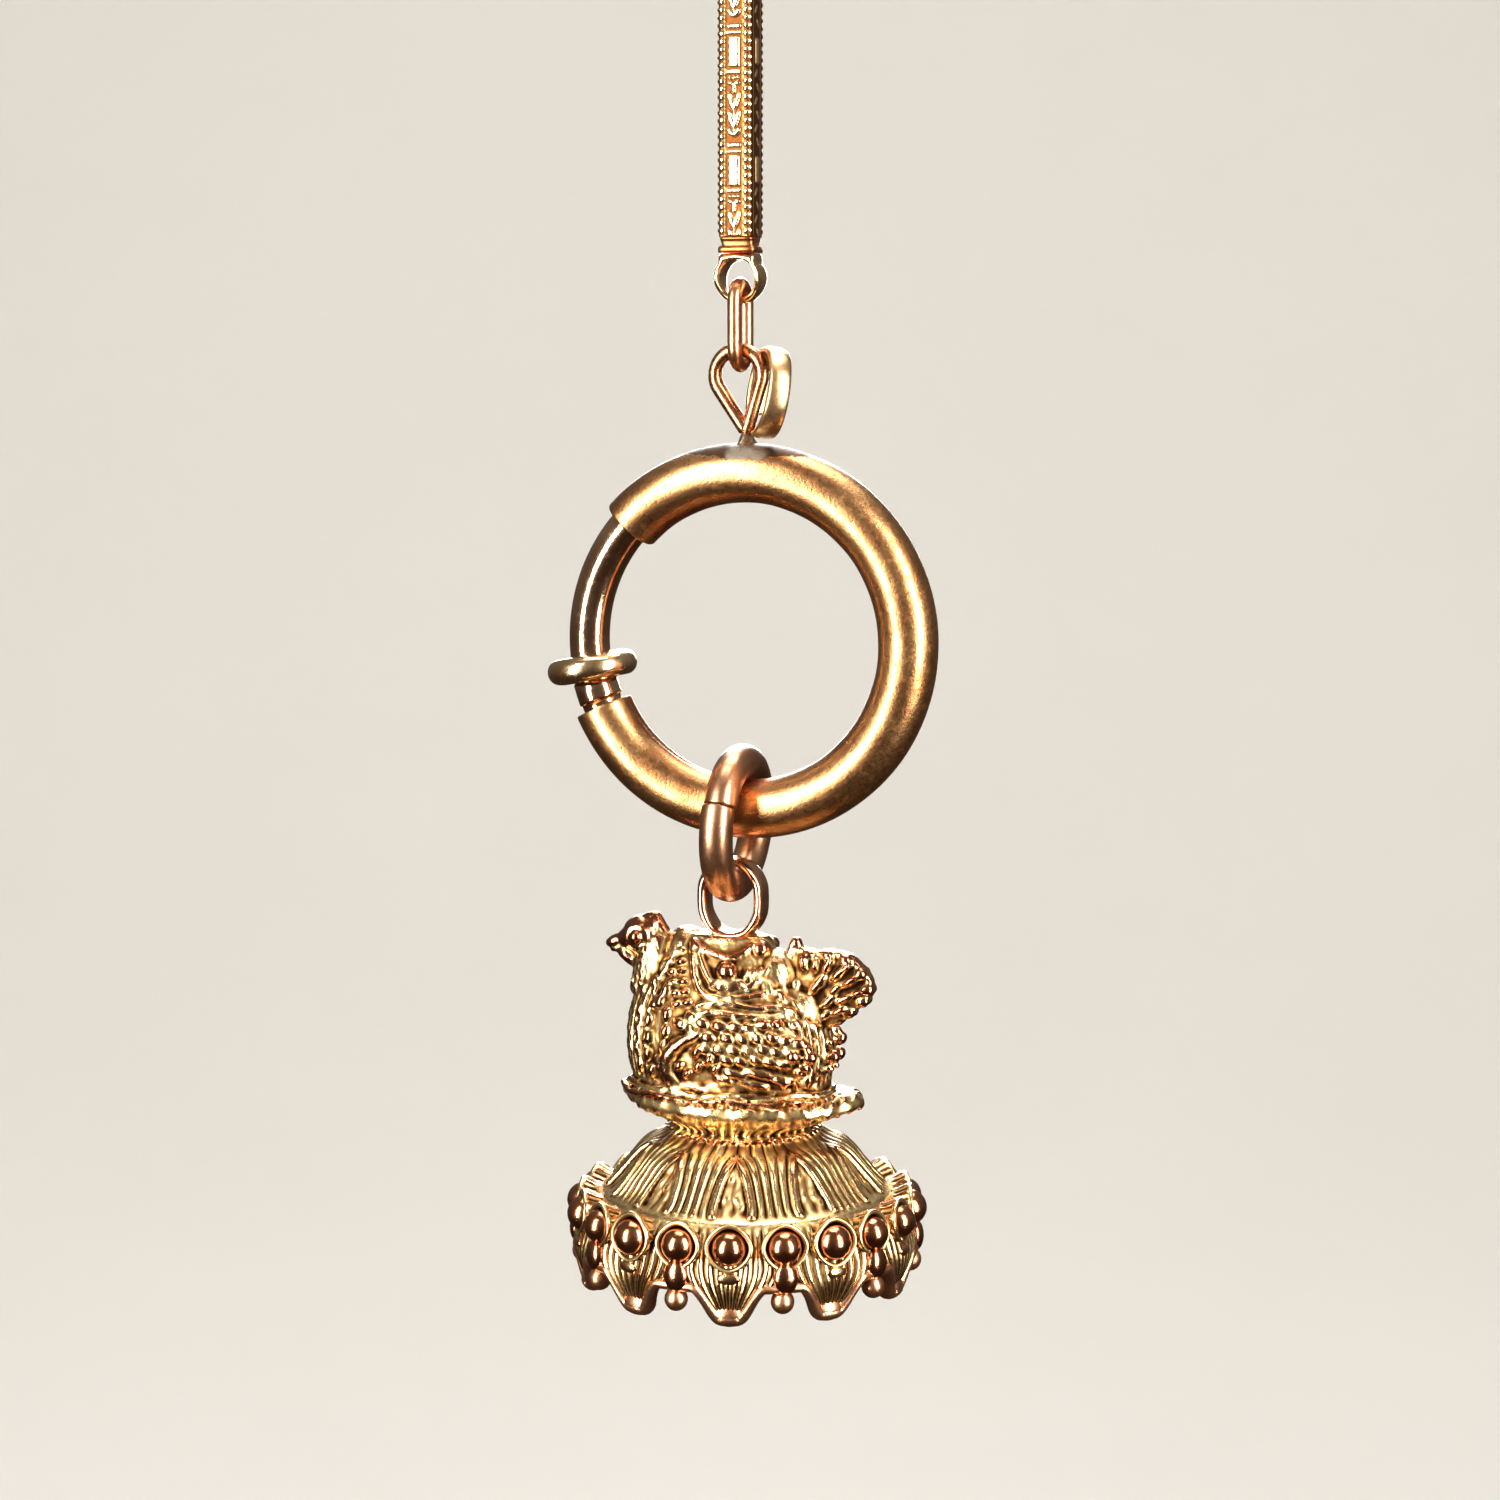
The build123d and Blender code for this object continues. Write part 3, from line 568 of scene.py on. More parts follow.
def tube_metal(size, finish):
    """Antique satin gold of the tube: soft blotches, a painted orange reflection of its hollow inside
    along the seam on its inner side, and tarnish with grey solder where the eyes are soldered on."""
    material, tree, place = new_material("Antique satin gold tube")
    middle, radius = ring_places(size)
    axes = add_node(tree, "ShaderNodeSeparateXYZ", None, {0: place}).outputs
    patches = between(tree, scaled_noise(tree, place, 2.2, 4.0), 0.34, 0.66)
    shade = mixed(tree, patches, linear("976a44"), tuple(finish.bronze))
    specks = between(tree, scaled_noise(tree, place, 0.45, 4.0), 0.50, 0.74)
    specks = calculated(tree, "MULTIPLY", specks, 0.55)
    shade = mixed(tree, specks, shade, linear("6f4420"))
    rust = between(tree, scaled_noise(tree, place, 3.1, 5.0), 0.60, 0.72)
    shade = mixed(tree, calculated(tree, "MULTIPLY", rust, 0.55), shade, linear("8c4a20"))
    # Painted reflection: the orange glow of the tube's hollow inside, seen at its seam, laid on as copper
    # colour along the ring's inner side
    away_x = calculated(tree, "SUBTRACT", axes[0], float(middle[0]))
    away_z = calculated(tree, "SUBTRACT", axes[2], float(middle[2]))
    away = calculated(tree, "MULTIPLY_ADD", away_z, away_z, calculated(tree, "MULTIPLY", away_x, away_x))
    blur = calculated(tree, "MULTIPLY_ADD", patches, 0.25, calculated(tree, "SQRT", away))
    inside = calculated(tree, "SUBTRACT", 1.0, between(tree, blur, radius - 1.42, radius - 1.18))
    shade = mixed(tree, calculated(tree, "MULTIPLY", inside, 0.85), shade, linear("a8542c"))
    waver = scaled_noise(tree, place, 0.9, 5.0)
    high = calculated(tree, "MULTIPLY_ADD", waver, 1.1, axes[2])
    beside = calculated(tree, "ABSOLUTE", calculated(tree, "SUBTRACT", away_x, 0.4))
    high = calculated(tree, "MULTIPLY_ADD", beside, -0.09, high)
    top = float(middle[2] + mm(size.tube) / 2 + radius)
    dark = between(tree, high, top - 0.40, top - 0.30)
    shade = mixed(tree, calculated(tree, "MULTIPLY", dark, 0.94), shade, linear("2b1d14"))
    foot = calculated(tree, "MULTIPLY_ADD", waver, -1.0, beside)
    grey = calculated(tree, "SUBTRACT", 1.0, between(tree, foot, 0.25, 0.75))
    grey = calculated(tree, "MULTIPLY", grey, calculated(tree, "MULTIPLY", dark, 0.75))
    shade = mixed(tree, grey, shade, linear("857a6c"))
    grain = scaled_noise(tree, place, 0.16, 3.0)
    gloss = calculated(tree, "MULTIPLY_ADD", grain, 0.20, 0.20)
    gloss = calculated(tree, "MULTIPLY_ADD", specks, 0.26, gloss)
    gloss = calculated(tree, "MULTIPLY_ADD", dark, 0.20, gloss)
    finish_metal(tree, shade, gloss, grain, 0.014)
    return material


def backdrop_material(finish):
    """Matt pale paper of the floor and backdrop, with a very soft unevenness."""
    material, tree, place = new_material("Matt pale paper")
    cloud = scaled_noise(tree, place, 60.0, 2.0)
    shade = mixed(tree, calculated(tree, "MULTIPLY", cloud, 0.12), tuple(finish.pale), linear("c4c2be"))
    shader = add_node(tree, "ShaderNodeBsdfPrincipled", None, {"Base Color": shade, "Roughness": 0.9})
    add_node(tree, "ShaderNodeOutputMaterial", None, {"Surface": shader.outputs[0]})
    return material


# Chain bar


# From the start of the pattern's last whole block down to the body's lower end
PATTERN_END = 3.92

# Marks of one repeat of the front's pattern: shares of its length, then millimetres
CROSS_BARS = [(0.276, 0.309, 0.40), (0.894, 0.927, 0.36), (0.951, 0.976, 0.43)]
LEAF_PAIRS = [(0.535, 0.46, 0.30), (0.692, 0.48, 0.30), (0.800, 0.27, 0.75)]


def bar_pattern(size, face_x, along, on_side):
    """Height, 0 to 1, of the raised pattern on the front or the side faces. Each mark is a
    clipped cone over a rectangle, an ellipse or a row of balls, and the highest one counts."""
    period, grain = mm(size.period), mm(size.grain)
    share = (along / period) % 1.0

    def block(low, high, half, middle=0.0):
        rise = (high - low) / 2 * period
        from_end = rise - np.abs(share - (low + high) / 2) * period
        from_side = half - np.abs(face_x - middle)
        return np.clip(np.minimum(from_end, from_side) / 0.05 + 0.3, 0, 1)

    def strip(middle):
        return block(-0.1, 1.1, 0.03, middle)

    def leaf(place, middle, half_long, half_wide, lean=0.0):
        down = (share - place) * period
        beside = face_x - middle
        long = down * cos(lean) + beside * sin(lean)
        wide = -down * sin(lean) + beside * cos(lean)
        return np.clip((1 - (long / half_long) ** 2 - (wide / half_wide) ** 2) * 2.2, 0, 1)

    def milgrain(middle, radius):
        down = (along % grain) - grain / 2
        return np.sqrt(np.clip(1 - ((face_x - middle) ** 2 + down**2) / radius**2, 0, 1))

    if on_side:
        marks = [block(0.0, 0.22, 0.20) * 0.9]
        for number in range(6):
            way = 1 if number % 2 else -1
            marks.append(leaf(0.30 + 0.115 * number, way * 0.14, 0.30, 0.09, way * 0.7) * 0.7)
        marks += [strip(middle) * 0.6 for middle in (-0.52, 0.52)]
        return np.maximum.reduce(marks)
    marks = [block(0.0, 0.252, 0.27)]
    marks += [block(low, high, half) * 0.8 for low, high, half in CROSS_BARS]
    marks += [leaf(0.342, middle, 0.085, 0.085) * 0.9 for middle in (-0.22, 0.0, 0.22)]
    marks += [leaf(0.435, 0.0, 0.28, 0.10), leaf(0.66, 0.0, 1.0, 0.045) * 0.8]
    for way in (-1, 1):
        marks.append(leaf(0.386, way * 0.17, 0.09, 0.16) * 0.8)
        marks += [leaf(place, way * 0.155, half, 0.120, -way * lean) for place, half, lean in LEAF_PAIRS]
        marks += [milgrain(way * 0.62, 0.155), strip(way * 0.62 * 0.76) * 0.35]
        marks.append(milgrain(way * 0.84, 0.12) * 0.8)
    return np.maximum.reduce(marks)


def bar_body(size, top):
    """Bar with a rounded oblong section, point = edge(p) + normal(p) * relief * pattern(p, z)."""
    rows, columns = 470, 148
    bend = 0.17
    half_wide, half_deep = mm(size.width) / 2 - 0.03, mm(size.depth) / 2
    arc = bend * pi / 2
    flat_x, flat_y = 2 * (half_wide - bend), 2 * (half_deep - bend)
    around = np.linspace(0, 2 * (flat_x + flat_y) + 4 * arc, columns, endpoint=False)
    half = flat_x + flat_y + 2 * arc
    turned = around >= half
    run = around - half * turned
    side_start = flat_x + arc
    side_end = side_start + flat_y
    on_front = run < flat_x
    on_corner = (run >= flat_x) & (run < side_start)
    on_side = (run >= side_start) & (run < side_end)
    last = run >= side_end
    turns = [0 * run, (run - flat_x) / bend, pi / 2 + 0 * run, pi / 2 + (run - side_end) / bend]
    angle = np.select([on_front, on_corner, on_side, last], turns)
    normal_x, normal_y = np.sin(angle), -np.cos(angle)
    core_x = np.where(on_front, run - flat_x / 2, flat_x / 2)
    core_y = np.where(on_side, run - side_start - flat_y / 2, np.where(last, flat_y / 2, -flat_y / 2))
    edge_x, edge_y = core_x + normal_x * bend, core_y + normal_y * bend
    sign = np.where(turned, -1, 1)
    z = np.linspace(0, -mm(size.body), rows)[:, None]
    along = PATTERN_END - z - mm(size.body)
    front = bar_pattern(size, edge_x[None] + 0 * z, along, False)
    side = bar_pattern(size, edge_y[None] + 0 * z, along, True)
    height = np.where(np.abs(normal_y)[None] > 0.3, front, side)
    height = height * ease(-z, 0, 0.12) * ease(z + mm(size.body), 0, 0.12)
    out = mm(size.relief) * height
    points = [sign * (edge_x + normal_x * out), sign * (edge_y + normal_y * out), top + z + 0 * out]
    points = np.stack(points, -1)
    ends = [np.repeat(points[i].mean(0)[None, None], columns, 1) for i in (0, -1)]
    relief = np.concatenate([np.full((1, columns), 0.3), height, np.full((1, columns), 0.3)])
    return surface(np.concatenate([ends[0], points, ends[1]])), relief


def top_of_bar(size):
    """Height of the top of the bar's patterned body."""
    return -mm(size.loop_drop) - mm(size.step)


def bar_step(top, way):
    """Copper step between body and loop: an oblong section of changing size carried down."""
    down = np.array([-0.03, 0.0, 0.05, 0.12, 0.38, 0.45, 0.60, 0.74, 0.80])
    half_wide = np.array([0.1, 0.86, 0.89, 0.87, 0.84, 0.97, 1.00, 0.98, 0.1])
    half_deep = np.array([0.1, 0.80, 0.83, 0.78, 0.58, 0.80, 0.85, 0.82, 0.1])
    out, across = section(48, 1.0, 1.0, 6)
    z = top + way * down[:, None] + 0 * out
    return surface(np.stack([out * half_wide[:, None], across * half_deep[:, None], z], -1))


def bar_loop(size, middle, way):
    """Loop round its hole: for each angle a rounded section runs from the hole to the ring's
    edge, or to the shoulders, where 1 / |cos| and 1 / sin give the oblong's border."""
    turn = np.linspace(0, 2 * pi, 96, endpoint=False)
    hole, outer = mm(size.hole), mm(size.loop)
    rise = np.sin(turn)
    half_shoulder, shoulder_rise = 0.98, 1.22
    to_side = half_shoulder / np.maximum(np.abs(np.cos(turn)), 1e-3)
    border = np.minimum(to_side, shoulder_rise / np.maximum(rise, 1e-3))
    reach = np.where(rise > 0, np.maximum(outer, border), outer)
    half_deep = 0.44 + 0.36 * ease(rise, -1.0, 0.15)
    angle = np.linspace(0, 2 * pi, 20, endpoint=False)
    out = np.sign(np.cos(angle)) * np.abs(np.cos(angle)) ** 0.75
    across = np.sign(np.sin(angle)) * np.abs(np.sin(angle)) ** 0.62
    radius = (reach + hole)[:, None] / 2 + (reach - hole)[:, None] / 2 * out
    points = [
        radius * np.cos(turn)[:, None],
        half_deep[:, None] * across * (1 - 0.12 * out),
        middle + way * radius * np.sin(turn)[:, None],
    ]
    return surface(np.stack(points, -1), close_rows=True)


def round_wire(path, out, across, radius, count=20):
    """Closed wire of round section along a closed path."""
    section_out, section_across = section(count, 1.0, 1.0, 2.0)
    radius = np.broadcast_to(radius, (len(path),))[:, None]
    wire = carried(path, out, across, section_out * radius, section_across * radius)
    return surface(wire, close_rows=True)


def small_link(size):
    """Stadium-shaped link in the plane x = 0: half circles joined by straight strands."""
    wire = mm(size.wire)
    bend = (LINK_HIGH[1] - LINK_LOW[1] - wire) / 2
    top, low = LINK_HIGH[2] - wire / 2 - bend, LINK_LOW[2] + wire / 2 + bend
    straight, arc = top - low, pi * bend
    run = np.linspace(0, 2 * (straight + arc), 96, endpoint=False)
    angle = np.where(run < straight, 0, np.clip((run - straight) / bend, 0, pi))
    angle = np.where(run > 2 * straight + arc, pi + (run - 2 * straight - arc) / bend, angle)
    rise = np.where(run < straight, low + run, top)
    down = (run >= straight + arc) & (run < 2 * straight + arc)
    rise = np.where(down, top - (run - straight - arc), np.where(run >= 2 * straight + arc, low, rise))
    outward = np.stack([0 * angle, -np.cos(angle), np.sin(angle)], -1)
    path = np.stack([0 * rise, 0 * rise, rise], -1) + outward * bend
    return round_wire(path, outward, np.array([1.0, 0, 0]), wire / 2, 18)


# Bolt ring


# Places to the right of the mount's axis, in millimetres
EYE_FOOT_X = 0.32
EYE_MIDDLE_X = -0.1
SIDE_EYE_X = 1.45

# Gap between the wire eye and the lower bend of the small link that it hangs on, in millimetres
LINK_GAP = 0.06

# Angles from the right at which the bolt's parts lie on the ring, in degrees
BOLT_START = 92.0
COLLAR_TURN = 190.3
SLEEVE_START = 194.5
BOLT_TIP = 207.0


def ring_places(size):
    """Middle and radius of the bolt ring's centre line."""
    outer = mm(size.outer)
    middle = np.array([RING_HIGH[0] - outer / 2, 0, RING_LOW[2] + outer / 2])
    return middle, (outer - mm(size.tube)) / 2


def on_ring(size, angle):
    """Points on the ring's centre line and outward directions, at angles from +X."""
    middle, radius = ring_places(size)
    outward = np.stack([np.cos(angle), 0 * angle, np.sin(angle)], -1)
    return middle + radius * outward, outward


def ring_tube(size):
    """Hollow tube: the outer circle carried from mouth to mouth, then the bore carried back.
    The seam on its inner side is a furrow that opens towards the lower mouth."""
    low, high = size.lower_mouth, size.upper_mouth + 2 * pi
    share = np.concatenate([[0, 0.0004, 0.0012], np.linspace(0.003, 0.997, 360), [0.9988, 0.9996, 1]])
    outer_turn = low + (high - low) * share
    inner_turn = np.linspace(high, low, 90)
    around = np.linspace(0, 2 * pi, 72, endpoint=False)
    tube = mm(size.tube) / 2
    bore = tube - mm(size.wall)
    from_seam = np.minimum(around, 2 * pi - around)
    seam_width = 0.05 + 0.16 * np.exp(-((outer_turn - low) / 0.35))
    furrow = np.exp(-((from_seam[None] / seam_width[:, None]) ** 2))
    dents = 0.012 * uneven(outer_turn[:, None] * 9, around[None] * 1.5, 4)
    edge = 0.04 * np.exp(-np.minimum(outer_turn - low, high - outer_turn) * 200)[:, None]
    radius = tube - 0.006 - 0.10 * furrow + np.minimum(dents, 0.004) - edge
    turns = np.concatenate([outer_turn, inner_turn])
    radii = np.concatenate([radius, np.full((len(inner_turn), len(around)), bore)])
    path, outward = on_ring(size, turns)
    across = np.array([0, 1.0, 0])
    shape = carried(path, outward, across, radii * np.cos(around + pi), radii * np.sin(around + pi))
    return surface(shape, close_rows=True)


def ring_solder(size):
    """Solder left round the eye's foot: a low mound of revolution with an uneven edge."""
    top = ring_places(size)[0][2] + mm(size.outer) / 2
    down = np.linspace(0, 1, 14)[:, None]
    around = np.linspace(0, 2 * pi, 28, endpoint=False)[None]
    lumps = 1 + 0.12 * np.sin(3 * around + 1) + 0.07 * np.sin(5 * around + 9 * down)
    radius = (0.56 * down**0.42 + 0.40 * down**5) * lumps
    z = top + 0.72 - 1.05 * down**0.75
    points = [EYE_FOOT_X + radius * np.cos(around), radius * np.sin(around) * 0.9, z + 0 * radius]
    return surface(np.stack(points, -1))


def wire_eye(size):
    """Teardrop eye: an arc joined to its foot by its two tangents."""
    radius = mm(size.radius)
    foot = np.array([EYE_FOOT_X, eye_middle_z(size) - mm(size.leg)])
    middle = np.array([EYE_MIDDLE_X, eye_middle_z(size)])
    reach = foot - middle
    distance = np.hypot(*reach)
    aim = np.arctan2(reach[1], reach[0])
    half_open = np.arccos(radius / distance)
    turn = np.linspace(aim + half_open, aim - half_open + 2 * pi, 72)
    outward = np.stack([np.cos(turn), np.sin(turn)], -1)
    arc = middle + radius * outward
    share = np.linspace(0, 1, 16, endpoint=False)[:, None]
    first = foot + (arc[0] - foot) * share
    last = arc[-1] + (foot - arc[-1]) * share
    path = np.concatenate([first, arc[:-1], last])
    normals = np.concatenate([np.repeat(outward[:1], 16, 0), outward[:-1], np.repeat(outward[-1:], 16, 0)])
    path = np.stack([path[:, 0], 0 * path[:, 0], path[:, 1]], -1)
    normals = np.stack([normals[:, 0], 0 * normals[:, 0], normals[:, 1]], -1)
    thick = mm(size.wire) / 2 * (1 - 0.03 * (1 + np.sin(np.arange(len(path)) * 0.2)))
    return round_wire(path, normals, np.array([0, 1.0, 0]), thick)


def eye_middle_z(size):
    """Height of the eye's middle: the top of its bend lies on the small link's lower bend."""
    link_wire = mm(bpy.context.scene.fob_link.wire)
    return LINK_LOW[2] + link_wire + LINK_GAP + mm(size.wire) / 2 - mm(size.radius)


def side_eye(size):
    """Flat band bent to an open ring: a rounded oblong section turned about its axis."""
    outer, band, wall = mm(size.band_outer) / 2, mm(size.band), mm(size.band_wall)
    turned, lean, start, reach = radians(33), radians(9), radians(-8), radians(310)
    sunk = 0.35
    foot_z = eye_middle_z(size) - mm(size.leg)
    middle = np.array([SIDE_EYE_X, 0, foot_z - sunk + outer])
    down = np.array([-sin(lean) * cos(turned), -sin(lean) * sin(turned), -cos(lean)])
    axis = np.array([cos(lean) * cos(turned), cos(lean) * sin(turned), -sin(lean)])
    beside = np.cross(down, axis)
    angle = start + np.linspace(0, reach, 96)
    outward = down * np.cos(angle)[:, None] + beside * np.sin(angle)[:, None]
    path = middle + outward * (outer - wall / 2)
    out, across = section(24, wall / 2, band / 2, 2.8)
    taper = np.concatenate([[0.02, 0.75, 0.93], np.ones(90), [0.93, 0.75, 0.02]])[:, None]
    bulge = 1 + 0.04 * np.sin(angle * 2 + 1)[:, None]
    thick = out * taper * (1 - 0.25 * np.abs(across / band))
    return surface(carried(path, outward, axis, thick, across * taper * bulge))


def ring_bolt(size):
    """Round rod along the ring, from inside the upper tube to its blunt tip, with the sleeve
    as a step in its radius."""
    rod, sleeve = mm(size.rod) / 2, mm(size.sleeve) / 2
    edge = sleeve - 0.05
    start_turns = BOLT_START + np.array([0, 0, 1])
    start_radii = rod * np.array([0.0, 0.85, 1.0])
    rod_turns = np.linspace(BOLT_START + 2, SLEEVE_START - 0.1, 110)
    sleeve_turns = SLEEVE_START + np.array([0, 0.2, 0.6, 3.7, 6.5, 7.1, 7.4, 7.5, 9.0])
    sleeve_radii = [rod, edge, sleeve, sleeve, sleeve, sleeve, edge, rod, rod]
    tip_turns = BOLT_TIP - np.array([1.0, 0.3, 0, 0])
    tip_radii = rod * np.array([1.0, 0.9, 0.7, 0.0])
    turns = np.radians(np.concatenate([start_turns, rod_turns, sleeve_turns, tip_turns]))
    radii = np.concatenate([start_radii, np.full(len(rod_turns), rod), sleeve_radii, tip_radii])[:, None]
    path, outward = on_ring(size, turns)
    out, across = section(36, 1.0, 1.0, 2.0)
    return surface(carried(path, outward, np.array([0, 1.0, 0]), out * radii, across * radii))


def bolt_collar(size):
    """Collar: a flattened round section turned about the rod, a little oval."""
    angle = radians(COLLAR_TURN)
    path, outward = on_ring(size, np.array([angle]))
    tangent = np.array([-sin(angle), 0, cos(angle)])
    across = np.array([0, 1.0, 0])
    turn = np.linspace(0, 2 * pi, 96, endpoint=False)
    radial = outward[0] * np.cos(turn)[:, None] + across * np.sin(turn)[:, None]
    outer, inner = mm(size.collar) / 2, mm(size.rod) / 2 - 0.05
    out, along = section(26, (outer - inner) / 2, mm(size.collar_wire) / 2, 2.15)
    middle = path[0] + radial * (outer + inner) / 2
    wave = 1 - 0.03 * (1 + np.sin(2 * turn + 0.7))[:, None]
    return surface(carried(middle, radial, tangent, out, along * wave), close_rows=True)


def jump_surface(size):
    """Jump ring: a round wire turned about its axis, open at its butt seam, where one end
    stands a little out of line."""
    wire, outer = mm(size.wire) / 2, mm(size.outer) / 2
    lean, gap = size.lean, 0.018
    middle = (JUMP_LOW + JUMP_HIGH) / 2
    axis = np.array([cos(lean), 0, -sin(lean)])
    up = np.array([sin(lean), 0, cos(lean)])
    front = np.array([0, -1.0, 0])
    share = np.concatenate([[0, 0, 0.0015, 0.004], np.linspace(0.008, 0.992, 150), [0.996, 0.9985, 1, 1]])
    turn = size.seam + gap / 2 + share * (2 * pi - gap)
    radial = front * np.cos(turn)[:, None] + up * np.sin(turn)[:, None]
    radius = np.full(len(turn), wire)
    radius[[1, -2]] = wire * 0.955
    radius[[0, -1]] = 0.0
    near_start, near_end = np.exp(-share * 30), np.exp(-(1 - share) * 30)
    slip = 0.05 * near_start - 0.03 * near_end
    radius = radius - 0.02 * (near_start + near_end) * (radius > 0)
    path = middle + radial * (outer - wire) + axis * slip[:, None]
    wobble = 1 - 0.012 * (1 + np.sin(turn * 3 + 1)) * 0.5
    out, across = section(40, 1.0, 1.0, 2.1)
    radius = (radius * wobble)[:, None]
    return surface(carried(path, radial, axis, out * radius, across * radius))


# Seal


def seal_places(size):
    """Heights and middles of the seal's pieces, from the frame, in millimetres."""
    jump = bpy.context.scene.fob_jump
    jump_radius = (JUMP_HIGH[2] - JUMP_LOW[2] - mm(jump.wire)) / 2
    bail_x = (JUMP_LOW[0] + JUMP_HIGH[0]) / 2 - jump_radius * sin(jump.lean)
    plate_z = SEAL_HIGH[2] - mm(size.hen_height)
    base_top = plate_z - mm(size.plate_thickness)
    return {
        "bail_x": bail_x,
        "hen_x": bail_x + mm(size.hen_shift),
        "base_x": (SEAL_LOW[0] + SEAL_HIGH[0]) / 2,
        "bail_top": SEAL_HIGH[2],
        "plate_z": plate_z,
        "base_top": base_top,
        "rim_z": SEAL_LOW[2],
        "base_height": base_top - SEAL_LOW[2],
    }


def bail_surface(size):
    """Bail: a D-shaped section carried round a stadium, narrower at its foot."""
    place = seal_places(size)
    half_wide = mm(size.bail_width) / 2
    middle_z = place["bail_top"] - half_wide
    straight = mm(size.bail_height) - 2 * half_wide
    turn = np.linspace(0, 2 * pi, 120, endpoint=False)
    outward = np.stack([np.sin(turn), 0 * turn, np.cos(turn)], -1)
    drop = -straight * ease(-np.cos(turn), -0.25, 0.25)
    middle = np.stack([place["bail_x"] + 0 * turn, 0 * turn, middle_z + drop], -1)
    beside = ease(np.abs(np.sin(turn)), 0.45, 0.95)[:, None]
    thick = 0.48 + 0.15 * beside
    path = middle + outward * (half_wide - thick / 2)
    out, across = section(28, 0.5, 1.0, 2.6)
    low = ease(-np.cos(turn), 0.2, 0.9)[:, None]
    half_deep = 0.80 - 0.08 * beside * (1 - low)
    crown = 1 - 0.35 * across**2
    inward = out * thick * np.where(out > 0, crown, 1.0)
    bail = carried(path, outward, np.array([0, 1.0, 0]), inward, across * half_deep)
    return surface(bail, close_rows=True)


BODY = np.array(
    [
        # height, middle, half length and half width of the hen's body, as shares of her sizes
        (0.000, -0.046, 0.463, 0.425),
        (0.120, -0.054, 0.497, 0.480),
        (0.228, -0.056, 0.502, 0.485),
        (0.360, -0.070, 0.463, 0.430),
        (0.478, -0.098, 0.369, 0.340),
        (0.595, -0.085, 0.280, 0.245),
        (0.670, -0.066, 0.205, 0.160),
    ]
)


def hen_point(size, along, height, across):
    """Points of the hen from shares of her length, height and width."""
    place = seal_places(size)
    along, height, across = np.broadcast_arrays(*(np.asarray(a, float) for a in (along, height, across)))
    x = place["hen_x"] + along * mm(size.hen_length)
    z = place["plate_z"] + height * mm(size.hen_height)
    return np.stack([x, across * mm(size.hen_width), z], -1)


def hen_body(size, height, turn):
    """Points on the body: at each height an ellipse whose middle and half sizes follow BODY."""
    middle, half_long, half_wide = (smooth_curve(height, BODY[:, 0], BODY[:, i]) for i in (1, 2, 3))
    return hen_point(size, middle + half_long * np.cos(turn), height, half_wide * np.sin(turn))


# The wing: its middle and its half sizes, as shares of the hen's length, width and height
WING_MIDDLE = (0.07, 0.35, 0.195)
WING_HALF = (0.36, 0.11, 0.165)


def hen_side(size, along, height, side):
    """Points on the hen's side, where the wing stands out from the body as half an ellipsoid."""
    middle, half_long, half_wide = (smooth_curve(height, BODY[:, 0], BODY[:, i]) for i in (1, 2, 3))
    body = half_wide * np.sqrt(np.clip(1 - ((along - middle) / half_long) ** 2, 0.02, 1))
    beside = (along - WING_MIDDLE[0]) / WING_HALF[0]
    above = (height - WING_MIDDLE[2]) / WING_HALF[2]
    spread = beside**2 + above**2
    wing = 0.36 + 0.10 * np.sqrt(np.clip(1 - spread, 0, 1)) * (spread < 1)
    return hen_point(size, along, height, side * np.maximum(body, np.where(spread < 1, wing, 0)))


FORMS = [
    # name, along, height, then half length, half width and half height as shares of length, lean
    ("neck", -0.405, 0.470, 0.120, 0.125, 0.230, 0.06),
    ("nape", -0.445, 0.575, 0.090, 0.095, 0.110, 0.0),
    ("head", -0.499, 0.640, 0.104, 0.094, 0.100, 0.0),
    ("brow", -0.485, 0.672, 0.090, 0.072, 0.056, 0.5),
    ("face", -0.560, 0.625, 0.068, 0.058, 0.062, 0.3),
    ("throat", -0.560, 0.545, 0.090, 0.050, 0.042, -0.55),
    ("rump", 0.290, 0.330, 0.150, 0.140, 0.160, 0.0),
    ("saddle", -0.270, 0.560, 0.120, 0.135, 0.150, 0.0),
    ("back", 0.175, 0.500, 0.120, 0.135, 0.130, 0.0),
    ("under bail", 0.020, 0.575, 0.150, 0.130, 0.120, 0.0),
]


def hen_forms(size):
    """The hen's rounded forms: leaning ellipsoids on her middle plane."""
    _, along, height, half_long, half_wide, half_high, lean = zip(*FORMS)
    centres = hen_point(size, along, height, 0.0)
    aims = np.stack([np.cos(lean), np.zeros(len(lean)), np.sin(lean)], -1)
    halves = mm(size.hen_length) * np.stack([half_long, half_wide, half_high], -1)
    return placed(ball(22, 32), centres, aims, (0, 0, 1), halves)


CREST = np.array(
    [
        (-0.592, 0.668), (-0.560, 0.696), (-0.518, 0.718), (-0.470, 0.738),
        (-0.432, 0.744), (-0.402, 0.704), (-0.370, 0.664), (-0.325, 0.650),
    ]
)


